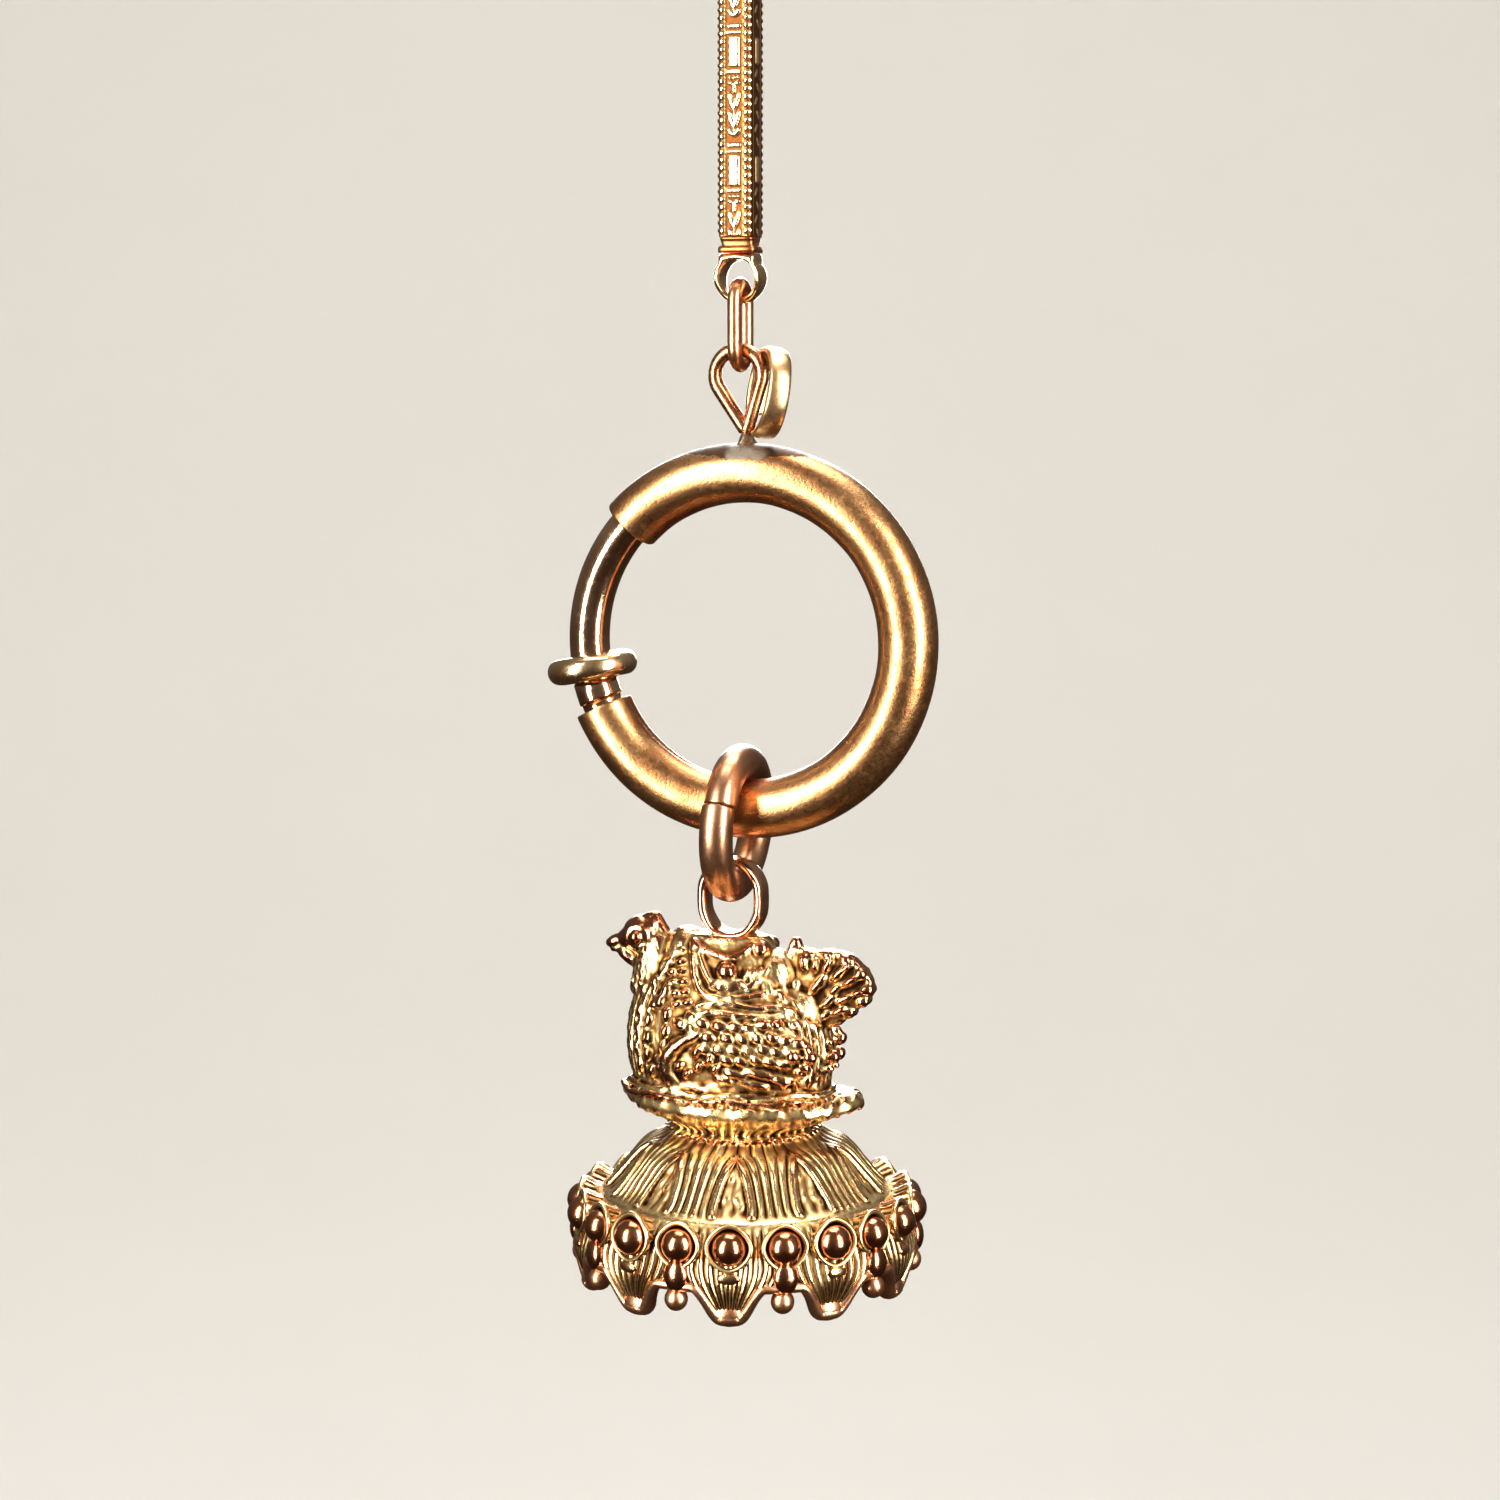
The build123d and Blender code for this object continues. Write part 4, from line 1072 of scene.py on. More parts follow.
def hen_head(size):
    """Crest, beak in two halves, and on each side an eye in its ring of skin."""
    run = np.arange(len(CREST))
    here = np.linspace(0, len(CREST) - 1, 40)
    along, height = (smooth_curve(here, run, CREST[:, i]) for i in (0, 1))
    crest = hen_point(size, along, height, 0.0)
    thick = np.interp(here, run, (0.15, 0.22, 0.26, 0.27, 0.22, 0.24, 0.24, 0.22))[:, None]
    crest = crest - np.array([0, 0, 1.0]) * thick
    parts = [placed(ball(12, 16), crest, (1, 0, 0), (0, 0, 1), thick * (1.0, 1.5, 1.0))]
    beak_root = hen_point(size, (-0.585, -0.580), (0.628, 0.592), 0.0)
    beak_tip = hen_point(size, (-0.692, -0.664), (0.592, 0.566), 0.0)
    beak_half = [(0.68, 0.38, 0.33), (0.56, 0.32, 0.20)]
    beak_middle = beak_root * 0.52 + beak_tip * 0.48
    parts.append(placed(ball(14, 16), beak_middle, beak_tip - beak_root, (0, 0, 1), beak_half))
    around = np.linspace(0, 2 * pi, 26, endpoint=False)
    for side in (-1, 1):
        eye = hen_point(size, -0.506, 0.642, 0.0) + np.array([0, side * 0.92, 0])
        eyeball = eye + np.array([0, side * 0.07, 0])
        parts.append(placed(ball(14, 18), eyeball, (1, 0, 0), (0, 0, 1), (0.31, 0.24, 0.31)))
        ring = eye + 0.52 * np.stack([np.cos(around), 0 * around - side * 0.14, np.sin(around)], -1)
        parts.append(placed(ball(8, 10), ring, (1, 0, 0), (0, 0, 1), (0.13, 0.09, 0.13)))
    return joined(*parts)


def side_points(size, marks, side):
    """Points of marks on the hen's side and the directions out of it and along it, from the
    surface's slopes: out is the cross product of its two tangents."""
    along, height = np.array(marks, float)[:, :2].T
    here = hen_side(size, along, height, side)
    ahead = hen_side(size, along + 0.01, height, side) - here
    above = hen_side(size, along, height + 0.01, side) - here
    return here, unit(np.cross(ahead, above) * side * -1), unit(ahead), unit(above)


def side_feathers(size, marks, side, half, lean, sink=0.0):
    """Rounded marks on the hen's side, each turned by lean from the way to the tail."""
    here, outward, ahead, above = side_points(size, marks, side)
    lean = np.radians(np.broadcast_to(np.asarray(lean, float), (len(here),)))[:, None]
    aim = ahead * np.cos(lean) + above * np.sin(lean)
    return placed(ball(12, 16), here - outward * sink, aim, outward, half)


def side_ridge(size, marks, side, radius):
    """Rounded ridge through marks on the hen's side: balls closely set along a smooth curve."""
    marks = np.array(marks, float)
    run = np.arange(len(marks))
    here = np.linspace(0, len(marks) - 1, 9 * len(marks))
    line = np.stack([smooth_curve(here, run, marks[:, i]) for i in (0, 1)], -1)
    thick = np.interp(here, run, np.broadcast_to(np.asarray(radius, float), (len(marks),)))
    points, outward, ahead, _ = side_points(size, line, side)
    return placed(ball(8, 12), points, ahead, outward, thick[:, None] * np.ones(3))


# Places of marks on the hen's side: along her and up her, as shares of her length and height

NECK_MARKS = [
    (-0.377, 0.467), (-0.305, 0.443), (-0.361, 0.385), (-0.286, 0.345), (-0.389, 0.312), (-0.286, 0.275),
    (-0.381, 0.240), (-0.291, 0.208), (-0.387, 0.168), (-0.325, 0.150), (-0.440, 0.425), (-0.447, 0.345),
    (-0.452, 0.268), (-0.452, 0.190), (-0.435, 0.112), (-0.365, 0.098), (-0.330, 0.395),
]
SADDLE_MARKS = [
    (-0.352, 0.630), (-0.281, 0.636), (-0.330, 0.593), (-0.261, 0.599), (-0.312, 0.554), (-0.249, 0.558),
    (-0.293, 0.514), (-0.236, 0.522), (-0.273, 0.474), (-0.221, 0.481), (-0.254, 0.433), (-0.203, 0.443),
    (-0.238, 0.392), (-0.185, 0.402),
]
SCALE_MARKS = [
    (-0.010, 0.318), (0.067, 0.317), (0.132, 0.315), (0.195, 0.336), (0.262, 0.334), (0.330, 0.326),
    (0.395, 0.310), (-0.062, 0.270), (0.030, 0.270), (0.105, 0.270), (0.176, 0.278), (0.248, 0.282),
    (0.312, 0.270), (0.375, 0.262), (-0.075, 0.222), (0.000, 0.224), (0.072, 0.222), (0.142, 0.222),
    (0.212, 0.230), (0.276, 0.222), (0.335, 0.225), (0.035, 0.180), (0.106, 0.176), (0.176, 0.186),
    (0.243, 0.182), (0.305, 0.176), (-0.100, 0.325), (-0.150, 0.345), (-0.150, 0.300), (-0.205, 0.315),
]
SHOULDER_RIDGE = [
    (-0.109, 0.280), (-0.167, 0.255), (-0.228, 0.218), (-0.265, 0.173),
    (-0.275, 0.127), (-0.258, 0.080), (-0.215, 0.048), (-0.159, 0.033),
]
SHOULDER_THICK = (0.22, 0.30, 0.42, 0.48, 0.46, 0.40, 0.30, 0.20)
SHOULDER_MARKS = [
    (-0.165, 0.112), (-0.205, 0.140), (-0.105, 0.150), (-0.052, 0.176), (-0.115, 0.205), (-0.020, 0.145),
]
QUILL_MARKS = [
    # along, height, half length in millimetres
    (0.075, 0.122, 0.75),
    (0.185, 0.128, 0.95),
    (0.290, 0.104, 0.60),
    (0.020, 0.098, 0.60),
    (0.150, 0.082, 0.90),
]
QUILL_ENDS = [(0.302, 0.093), (0.336, 0.080), (0.377, 0.082)]
WING_EDGE = [
    (-0.205, 0.026), (-0.113, 0.039), (-0.023, 0.072), (0.051, 0.080), (0.119, 0.062),
    (0.195, 0.040), (0.269, 0.027), (0.339, 0.017), (0.400, 0.012),
]
REAR_BALLS = [(0.352, 0.207), (0.420, 0.203), (0.478, 0.175)]
REAR_MARKS = [
    (0.401, 0.159), (0.423, 0.110), (0.455, 0.128), (0.414, 0.235), (0.452, 0.240), (0.381, 0.135),
]
BACK_RIDGES = [
    [(-0.116, 0.361), (-0.051, 0.372), (0.053, 0.364), (0.153, 0.357), (0.290, 0.362)],
    [
        (-0.130, 0.390), (-0.100, 0.400), (-0.017, 0.407), (0.066, 0.401), (0.147, 0.390), (0.221, 0.393),
        (0.295, 0.380),
    ],
    [
        (-0.206, 0.640), (-0.178, 0.560), (-0.150, 0.490), (-0.108, 0.445), (-0.041, 0.428), (0.060, 0.430),
        (0.171, 0.445),
    ],
    [(-0.200, 0.640), (-0.105, 0.604), (-0.007, 0.590), (0.057, 0.612), (0.090, 0.640)],
    [(-0.160, 0.600), (-0.120, 0.540), (-0.075, 0.490), (0.000, 0.462), (0.080, 0.468), (0.140, 0.500)],
]
STRIPE_MARKS = [(0.083, 0.524), (0.110, 0.521), (0.137, 0.526), (0.161, 0.535)]
TAIL_RIM = np.array(
    [
        (0.262, 0.632), (0.361, 0.603), (0.459, 0.608), (0.546, 0.594), (0.620, 0.540),
        (0.652, 0.476), (0.630, 0.428), (0.562, 0.377), (0.490, 0.318),
    ]
)
TAIL_MARKS = np.array(
    [
        # along, height, half length, half width in millimetres, lean in degrees
        (0.330, 0.566, 0.50, 0.26, 96),
        (0.294, 0.465, 0.48, 0.27, 92),
        (0.402, 0.480, 0.78, 0.29, 52),
        (0.355, 0.388, 0.46, 0.27, 62),
        (0.448, 0.560, 0.52, 0.22, 62),
        (0.390, 0.560, 0.40, 0.20, 84),
        (0.505, 0.530, 0.60, 0.22, 44),
        (0.490, 0.465, 0.55, 0.20, 38),
        (0.560, 0.500, 0.55, 0.20, 30),
        (0.455, 0.412, 0.70, 0.22, 40),
        (0.535, 0.425, 0.62, 0.20, 26),
        (0.430, 0.345, 0.62, 0.20, 36),
        (0.545, 0.560, 0.32, 0.16, 42),
        (0.600, 0.455, 0.34, 0.16, 14),
        (0.505, 0.372, 0.50, 0.17, 28),
    ]
)
TAIL_HALF = 0.58


def marked_side(size, side):
    """All of the raised marks on one side of the hen."""
    leaf = np.radians(np.arange(0, 360, 20))
    border = np.stack([0.208 + 0.046 * np.cos(leaf), 0.500 + 0.052 * np.sin(leaf)], -1)
    quills = np.array(QUILL_MARKS)
    long = np.stack([quills[:, 2], np.full(len(quills), 0.26), np.full(len(quills), 0.30)], -1)
    return joined(
        side_feathers(size, NECK_MARKS, side, (0.42, 0.27, 0.30), 84, 0.02),
        side_feathers(size, SADDLE_MARKS, side, (0.32, 0.19, 0.24), 12, 0.02),
        side_feathers(size, SCALE_MARKS, side, (0.46, 0.33, 0.27), -16, 0.02),
        side_ridge(size, SHOULDER_RIDGE, side, SHOULDER_THICK),
        side_feathers(size, SHOULDER_MARKS, side, (0.36, 0.22, 0.34), 55, 0.0),
        side_feathers(size, QUILL_MARKS, side, long, -12, 0.0),
        side_feathers(size, QUILL_ENDS, side, (0.40, 0.19, 0.34), 75, 0.0),
        side_ridge(size, WING_EDGE, side, 0.19),
        side_feathers(size, REAR_BALLS, side, (0.37, 0.37, 0.37), 0, -0.05),
        side_feathers(size, REAR_MARKS, side, (0.34, 0.19, 0.22), -25, 0.0),
        *(side_ridge(size, ridge, side, 0.19) for ridge in BACK_RIDGES),
        side_feathers(size, STRIPE_MARKS, side, (0.40, 0.10, 0.26), 80, 0.0),
        # The bordered leaf on her back
        side_ridge(size, border, side, 0.12),
        side_feathers(size, [(0.206, 0.500)], side, (0.34, 0.16, 0.22), 80, 0.0),
        # The lumps at the bail's foot
        side_feathers(size, [(-0.006, 0.530)], side, (0.56, 0.54, 0.56), 0, -0.10),
        side_feathers(size, [(0.005, 0.480)], side, (1.00, 0.50, 0.40), 0, 0.05),
        side_feathers(size, [(0.128, 0.622)], side, (0.50, 0.48, 0.50), 0, 0.10),
    )


def hen_tail(size):
    """Tail: a web from its root to its rim, with long rounded feathers on both faces."""
    root = hen_point(size, 0.230, 0.330, 0.0)
    run = np.arange(len(TAIL_RIM))
    here = np.linspace(0, len(TAIL_RIM) - 1, 60)
    rim_along, rim_height = (smooth_curve(here, run, TAIL_RIM[:, i]) for i in (0, 1))
    rim = hen_point(size, rim_along, rim_height, 0.0)
    reach = np.linalg.norm(rim - root, axis=1)
    half = np.stack([reach * 0.5, 0 * reach + 0.42, 0 * reach + TAIL_HALF], -1)
    parts = [
        placed(ball(16, 20), (root + rim) / 2, rim - root, (0, 1, 0), half),
        placed(ball(12, 14), root * 0.25 + rim * 0.75, rim - root, (0, 1, 0), half * (0.55, 1.0, 0.92)),
        placed(ball(10, 12), rim, (1, 0, 0), (0, 1, 0), (0.21, 0.21, 0.40)),
    ]
    lean = np.radians(TAIL_MARKS[:, 4])
    aim = np.stack([np.cos(lean), 0 * lean, np.sin(lean)], -1)
    half = np.stack([TAIL_MARKS[:, 2], TAIL_MARKS[:, 3], 0 * lean + 0.30], -1)
    middle = hen_point(size, TAIL_MARKS[:, 0], TAIL_MARKS[:, 1], 0.0)
    lobe = hen_point(size, TAIL_RIM[1:-1, 0] - 0.012, TAIL_RIM[1:-1, 1] - 0.01, 0.0)
    for side in (-1, 1):
        out = np.array([0, side, 0])
        parts.append(placed(ball(14, 16), middle + out * TAIL_HALF * 0.86, aim, out, half))
        parts.append(placed(ball(10, 12), lobe + out * 0.3, (1, 0, 0), (0, 0, 1), (0.36, 0.34, 0.34)))
    knob = hen_point(size, 0.279, 0.642, 0.0)
    parts.append(placed(ball(14, 18), knob, (1, 0, 0), (0, 0, 1), (0.32, 0.38, 0.34)))
    return joined(*parts)


def columns_and_rows(columns, rows):
    """Numbers of the column, counted both ways from the middle one, and the row of each feather."""
    numbers = np.meshgrid(np.arange(-columns, columns + 1), np.arange(rows), indexing="ij")
    return [number.ravel() for number in numbers]


def long_feathers(size, towards, columns, rows):
    """Long narrow feathers down one end of the body, in staggered columns on both sides of
    its middle."""
    column, row = columns_and_rows(columns, rows)
    turn = towards + np.radians(6.6 * column)
    height = 0.035 + 0.072 * row + 0.036 * (column % 2) + 0.006 * np.sin(column * 5 + row * 3)
    points = hen_body(size, height, turn)
    above = hen_body(size, height + 0.02, turn)
    beside = hen_body(size, height, turn + 0.05)
    outward = np.cross(beside - points, above - points)
    half = np.stack([0.62 + 0.06 * np.sin(row * 7 + column), 0.16 + 0 * row, 0.19 + 0 * row], -1)
    return placed(ball(12, 14), points, points - above, outward, half)


def throat_feathers(size):
    """Columns of feathers round the neck from the throat down to the breast."""
    column, row = columns_and_rows(5, 4)
    turn = np.radians(17.0 * column)
    height = 0.575 - 0.046 * row - 0.023 * (column % 2)
    middle = hen_point(size, -0.425 + 0.03 * (0.5 - height), height, 0.0)
    outward = np.stack([-np.cos(turn), np.sin(turn), 0 * turn], -1)
    points = middle + outward * (0.98 + 0.11 * row)[:, None]
    downward = np.array([0, 0, -1.0]) - 0.15 * outward
    return placed(ball(12, 14), points, downward, outward, (0.40, 0.17, 0.16))


def nest_ridges(size):
    """Wavy ridges of the nest round the hen's foot: three rings of overlapping strips."""
    parts = []
    middle = hen_point(size, -0.038, 0.0, 0.0)
    for ring, (grow, height) in enumerate(((1.01, 0.050), (1.07, 0.022), (1.14, -0.002))):
        turn = np.radians(np.arange(0, 360, 11) + ring * 5)
        points = hen_body(size, np.full(len(turn), 0.03), turn)
        points = middle + (points - middle) * np.array([grow, grow * 1.03, 0])
        wave = 0.06 * np.sin(turn * 9 + ring)
        points[:, 2] = middle[2] + height * mm(size.hen_height) + wave
        aims = np.stack([-np.sin(turn), 0.7 * np.cos(turn), 0.14 * np.cos(turn * 9 + ring)], -1)
        outward = np.stack([np.cos(turn), np.sin(turn), 0.9 + 0 * turn], -1)
        parts.append(placed(ball(8, 10), points, aims, outward, (0.80, 0.17, 0.21)))
    return joined(*parts)


def hen_surface(size):
    """All of the hen's forms, still separate closed surfaces."""
    height = np.concatenate([[0.0], np.linspace(0.0, 0.67, 44), [0.67]])
    turn = np.linspace(0, 2 * pi, 72, endpoint=False)
    body = hen_body(size, height[:, None], turn[None])
    body[[0, -1]] = body[[0, -1]].mean(1, keepdims=True)
    wing_along, wing_across, wing_height = WING_MIDDLE
    wing_middle = hen_point(size, wing_along, wing_height, (-wing_across, wing_across))
    wing_half = np.array(WING_HALF) * (mm(size.hen_length), mm(size.hen_width), mm(size.hen_height))
    return joined(
        surface(body),
        placed(ball(24, 32), wing_middle, (1, 0, 0), (0, 0, 1), wing_half),
        hen_forms(size),
        hen_head(size),
        long_feathers(size, pi, 7, 8),
        long_feathers(size, 0.0, 6, 7),
        throat_feathers(size),
        marked_side(size, -1),
        marked_side(size, 1),
        hen_tail(size),
        nest_ridges(size),
    )


PLATE = np.array(
    [
        # radius along x, radius along y, height from the plate's top, in millimetres
        (0.0, 0.0, 0.05),
        (3.6, 2.4, 0.04),
        (5.1, 3.4, 0.00),
        (5.85, 3.92, -0.16),
        (6.08, 4.05, -0.46),
        (6.00, 4.0, -0.78),
        (5.45, 3.86, -1.02),
        (4.65, 3.70, -1.20),
        (3.98, 3.60, -1.42),
        (3.60, 3.54, -1.64),
        (3.72, 3.70, -1.86),
        (0.0, 0.0, -1.95),
    ]
)


def plate_surface(size):
    """Leaf plate: rings of x and y radii, drawn out to a point at both ends, whose fibres run
    from its middle rib to the edge. Its underside narrows to the round neck."""
    place = seal_places(size)
    run = np.linspace(0, len(PLATE) - 1, 100)[:, None]
    along, across, drop = (smooth_curve(run, np.arange(len(PLATE)), PLATE[:, i]) for i in (0, 1, 2))
    along, across = np.maximum(along, 0), np.maximum(across, 0)
    turn = np.linspace(0, 2 * pi, 280, endpoint=False)[None]
    edge, neck = ease(along, 3.9, 5.6), ease(run, 6.5, 8.0)
    scallop = 0.010 * np.cos(11 * turn + 1) + 0.006 * np.cos(23 * turn)
    wave = 1 + edge * (scallop + 0.045 * np.abs(np.cos(turn)) ** 10)
    wave = wave + neck * (0.016 * np.sin(40 * turn) + 0.010 * np.sin(27 * turn + 2))
    x, y = along * np.cos(turn) * wave, across * np.sin(turn) * wave
    fibre = 0.3 * np.sin(3.1 * x + 5.2 * np.abs(y) + 1.1 * np.sin(x * 0.9))
    fibre = fibre + 0.5 * np.sin(7.7 * np.abs(y) - 2.3 * x)
    fibre = fibre + 0.5 * np.sin(10.5 * x - 3.0 * np.abs(y) + 2.0 * np.sin(x * 1.3))
    curl = 0.30 * np.abs(np.cos(turn)) ** 6 * edge
    z = drop + 0.075 * fibre * ease(along, 2.5, 4.5) * (0.35 + 0.65 * edge) + curl
    middle_x = place["hen_x"] + 0.14
    return surface(np.stack([middle_x + x, y, place["plate_z"] + z], -1))


BASE = np.array(
    [
        # depth below the plate and radius, as shares of the base's height and radius
        (0.000, 0.400),
        (0.050, 0.440),
        (0.108, 0.545),
        (0.241, 0.665),
        (0.340, 0.745),
        (0.430, 0.840),
        (0.518, 0.910),
        (0.602, 0.948),
        (0.723, 0.972),
        (0.867, 0.938),
        (1.000, 0.872),
    ]
)

# The scalloped edge: how many tips it has, and the angle of the first one from the front in degrees
LOBES = 10
TIP_TURN = 13.0

# Depth of the row of beads, as a share of the base's height
BEAD_DEPTH = 0.518


def base_radius(size, depth):
    """Radius of the base at a share of its height."""
    return mm(size.base_radius) * smooth_curve(depth, BASE[:, 0], BASE[:, 1])


def from_tip(turn):
    """Angle from the nearest tip of the scalloped edge, in radians."""
    half = pi / LOBES
    return (turn - radians(TIP_TURN) + half) % (2 * half) - half


def edge_height(size, turn):
    """Height of the skirt's edge above the lowest point: flat tips joined by arches."""
    tip, half_tip, half_arch = 0.46, 0.42, 1.75
    beside = np.abs(from_tip(turn)) * mm(size.base_radius) * 0.93
    return tip + (mm(size.arch) - 0.40) * ease(beside, half_tip, half_arch)


def around_base(size, turn, radius, z):
    """Points round the base's axis, at angles from the front towards the right."""
    middle = seal_places(size)["base_x"]
    return np.stack(np.broadcast_arrays(middle + radius * np.sin(turn), -radius * np.cos(turn), z), -1)


def away_from_axis(turn):
    """Level directions out from the base's axis, at angles from the front towards the right."""
    return np.stack([np.sin(turn), -np.cos(turn), 0 * turn], -1)


def base_relief(size, turn, depth):
    """Relief of the dome and skirt in millimetres: ribs between pointed petals with a raised
    border above, and below the beads ribs that draw together towards each tip."""
    radius = base_radius(size, depth)
    beside = from_tip(turn) * radius
    half = pi / LOBES * radius
    petal = 1.22 * np.clip((depth - 0.085) / 0.26, 0, 1) ** 0.42
    from_border = np.abs(beside) - petal
    rib = np.abs(np.sin(pi * 2.0 * from_border / np.maximum(half - petal, 0.1)))
    uneven_rib = 1 + 0.25 * uneven(turn * 14, depth * 9, 5)
    ribs = 0.29 * rib**0.55 * uneven_rib - 0.21
    border = 0.30 * np.sqrt(np.clip(1 - ((from_border + 0.24) / 0.25) ** 2, 0, 1)) - 0.06
    inside = from_border < -0.46
    strokes = 0.10 * np.abs(np.sin(beside * 5.0 + 0.35 * np.sin(depth * 45 + turn * 9)))
    strokes = strokes + 0.035 * uneven(turn * 60, depth * 60, 8) - 0.12
    petals = np.where(inside, strokes, np.maximum(border, -0.10))
    dome = np.where((petal > 0.05) & (from_border < 0), petals, ribs)
    dome = dome * ease(depth, 0.0, 0.05) * (1 - ease(depth, 0.365, 0.392))
    band = 0.06 * np.exp(-(((depth - 0.404) / 0.016) ** 2))
    lobe = half * (1 - ease(depth, 0.62, 1.0)) + 0.75 * ease(depth, 0.62, 1.0)
    furrow = np.abs(np.cos(pi * 5.5 * np.abs(beside) / lobe))
    skirt = (0.17 * furrow**0.7 - 0.10) * (1 + 0.35 * uneven(turn * 20, depth * 12, 9))
    return dome + band + skirt * ease(depth, 0.41, 0.47)


def base_surface(size):
    """Dome and skirt, then its inside back up to the seal face: radius(turn, depth) with the
    depth of the lower half drawn in to meet the scalloped edge."""
    place = seal_places(size)
    turn = np.linspace(0, 2 * pi, 720, endpoint=False)[None]
    share = np.linspace(0, 1, 118)[:, None]
    last = 1 - edge_height(size, turn) / place["base_height"]
    depth = np.where(share < 0.5, share, 0.5 + (share - 0.5) / 0.5 * (last - 0.5))
    radius = base_radius(size, depth) + base_relief(size, turn, depth) * (1 - 0.8 * ease(share, 0.97, 1.0))
    outside = around_base(size, turn, radius, place["base_top"] - depth * place["base_height"])
    start = around_base(size, turn, 0 * radius[:1], place["base_top"] + 0.3)
    back = np.linspace(0, 1, 14)[:, None]
    ceiling_above_rim = 3.0
    ceiling = 1 - ceiling_above_rim / place["base_height"]
    inner_depth = last + (ceiling - last) * back
    inner_radius = base_radius(size, inner_depth) - 0.62 - 0.18 * ease(back, 0, 0.4)
    inside = around_base(size, turn, inner_radius, place["base_top"] - inner_depth * place["base_height"])
    close = around_base(size, turn, 0 * radius[:1], place["base_top"] - ceiling * place["base_height"])
    return surface(np.concatenate([start, outside, inside, close]))


def rim_surface(size):
    """Rolled edge: a round section carried along the scalloped edge, thicker at its tips."""
    place = seal_places(size)
    turn = np.linspace(0, 2 * pi, 720, endpoint=False)
    z = place["rim_z"] + edge_height(size, turn)
    depth = (place["base_top"] - z) / place["base_height"]
    tip = 1 - ease(np.abs(from_tip(turn)) * 8.4, 0.15, 1.25)
    path = around_base(size, turn, base_radius(size, depth) - 0.22 + 0.10 * tip, z)
    tangent = unit(np.roll(path, -1, 0) - np.roll(path, 1, 0))
    radial = away_from_axis(turn)
    across = unit(np.cross(tangent, radial))
    outward = np.cross(across, tangent)
    out, side = section(18, 1.0, 1.0, 2.0)
    thick = (0.29 + 0.15 * tip)[:, None]
    tube = surface(carried(path, outward, across, out * (thick + 0.10), side * thick), close_rows=True)
    tips = np.radians(TIP_TURN + 360 / LOBES * np.arange(LOBES))
    middle = around_base(size, tips, base_radius(size, 0.93) - 0.15, place["rim_z"] + 0.62)
    knobs = placed(ball(16, 20), middle, away_from_axis(tips), (0, 0, 1), (0.50, 0.92, 0.62))
    return joined(tube, knobs)


CUP = np.array(
    [
        # distance out from the base's surface, and radius, in millimetres
        (-0.80, 0.0),
        (-0.80, 0.84),
        (-0.30, 0.98),
        (0.05, 1.10),
        (0.32, 1.18),
        (0.47, 1.16),
        (0.51, 1.06),
        (0.44, 0.965),
        (0.30, 0.935),
        (0.14, 0.87),
        (0.12, 0.0),
    ]
)


def bead_cup():
    """Cup of one bead about the x axis: a ribbed horn behind, a rolled lip and a groove round
    the ball."""
    run = np.linspace(0, len(CUP) - 1, 40)
    x, radius = (smooth_curve(run, np.arange(len(CUP)), CUP[:, i])[:, None] for i in (0, 1))
    radius = np.maximum(radius, 0)
    turn = np.linspace(0, 2 * pi, 48, endpoint=False)[None]
    ribs = 1 + 0.05 * np.sin(12 * turn) * (run[:, None] < 3.6)
    oval = 1 + 0.05 * np.cos(2 * turn)
    points = [x + 0 * turn, radius * ribs * oval * np.cos(turn), radius * ribs * np.sin(turn) / oval]
    points = np.stack(points, -1)
    points[[0, -1]] = points[[0, -1]].mean(1, keepdims=True)
    return surface(points)


def bead_places(size):
    """Middle and outward direction of each bead, and how large it is beside the named size."""
    place = seal_places(size)
    number = np.arange(2 * LOBES)
    draw = np.random.default_rng(7)
    turn = np.radians(TIP_TURN + 180 / LOBES * number + draw.uniform(-0.8, 0.8, 2 * LOBES))
    z = place["base_top"] - BEAD_DEPTH * place["base_height"]
    radial = away_from_axis(turn)
    middle = around_base(size, turn, base_radius(size, BEAD_DEPTH), z)
    aim = radial + np.array([0, 0, 0.13])
    return turn, middle, unit(aim), draw.uniform(0.95, 1.04, 2 * LOBES)[:, None]


def bead_surfaces(size):
    """The ribbed cups of the beads, with a stalk below each."""
    place = seal_places(size)
    turn, middle, aim, grow = bead_places(size)
    cups = placed(bead_cup(), middle, aim, (0, 0, 1), grow * np.ones(3))
    number = np.arange(len(turn))
    over_tip = (number % 2 == 0)[:, None]
    radial = away_from_axis(turn)
    stalk_z = place["base_top"] - 0.69 * place["base_height"]
    stalk = around_base(size, turn, base_radius(size, 0.70) - 0.02, stalk_z)
    half = np.where(over_tip, (0.18, 0.60, 0.30), (0.42, 0.66, 0.80))
    return joined(cups, placed(ball(16, 18), stalk, radial, (0, 0, 1), half))


def bead_balls(size):
    """The polished balls."""
    _, middle, aim, grow = bead_places(size)
    return placed(ball(20, 28), middle + aim * 0.19, aim, (0, 0, 1), grow * mm(size.bead))


def drop_balls(size):
    """Balls that hang in the arches, between the tips."""
    place = seal_places(size)
    turn = np.radians(TIP_TURN + 360 / LOBES * (np.arange(LOBES) + 0.5))
    arch_z = place["rim_z"] + mm(size.arch)
    depth = (place["base_top"] - arch_z) / place["base_height"]
    middle = around_base(size, turn, base_radius(size, depth) - 0.28, arch_z - 0.66)
    radial = away_from_axis(turn)
    return placed(ball(16, 22), middle, radial, (0, 0, 1), mm(size.drop) * np.array([1, 1, 1.05]))


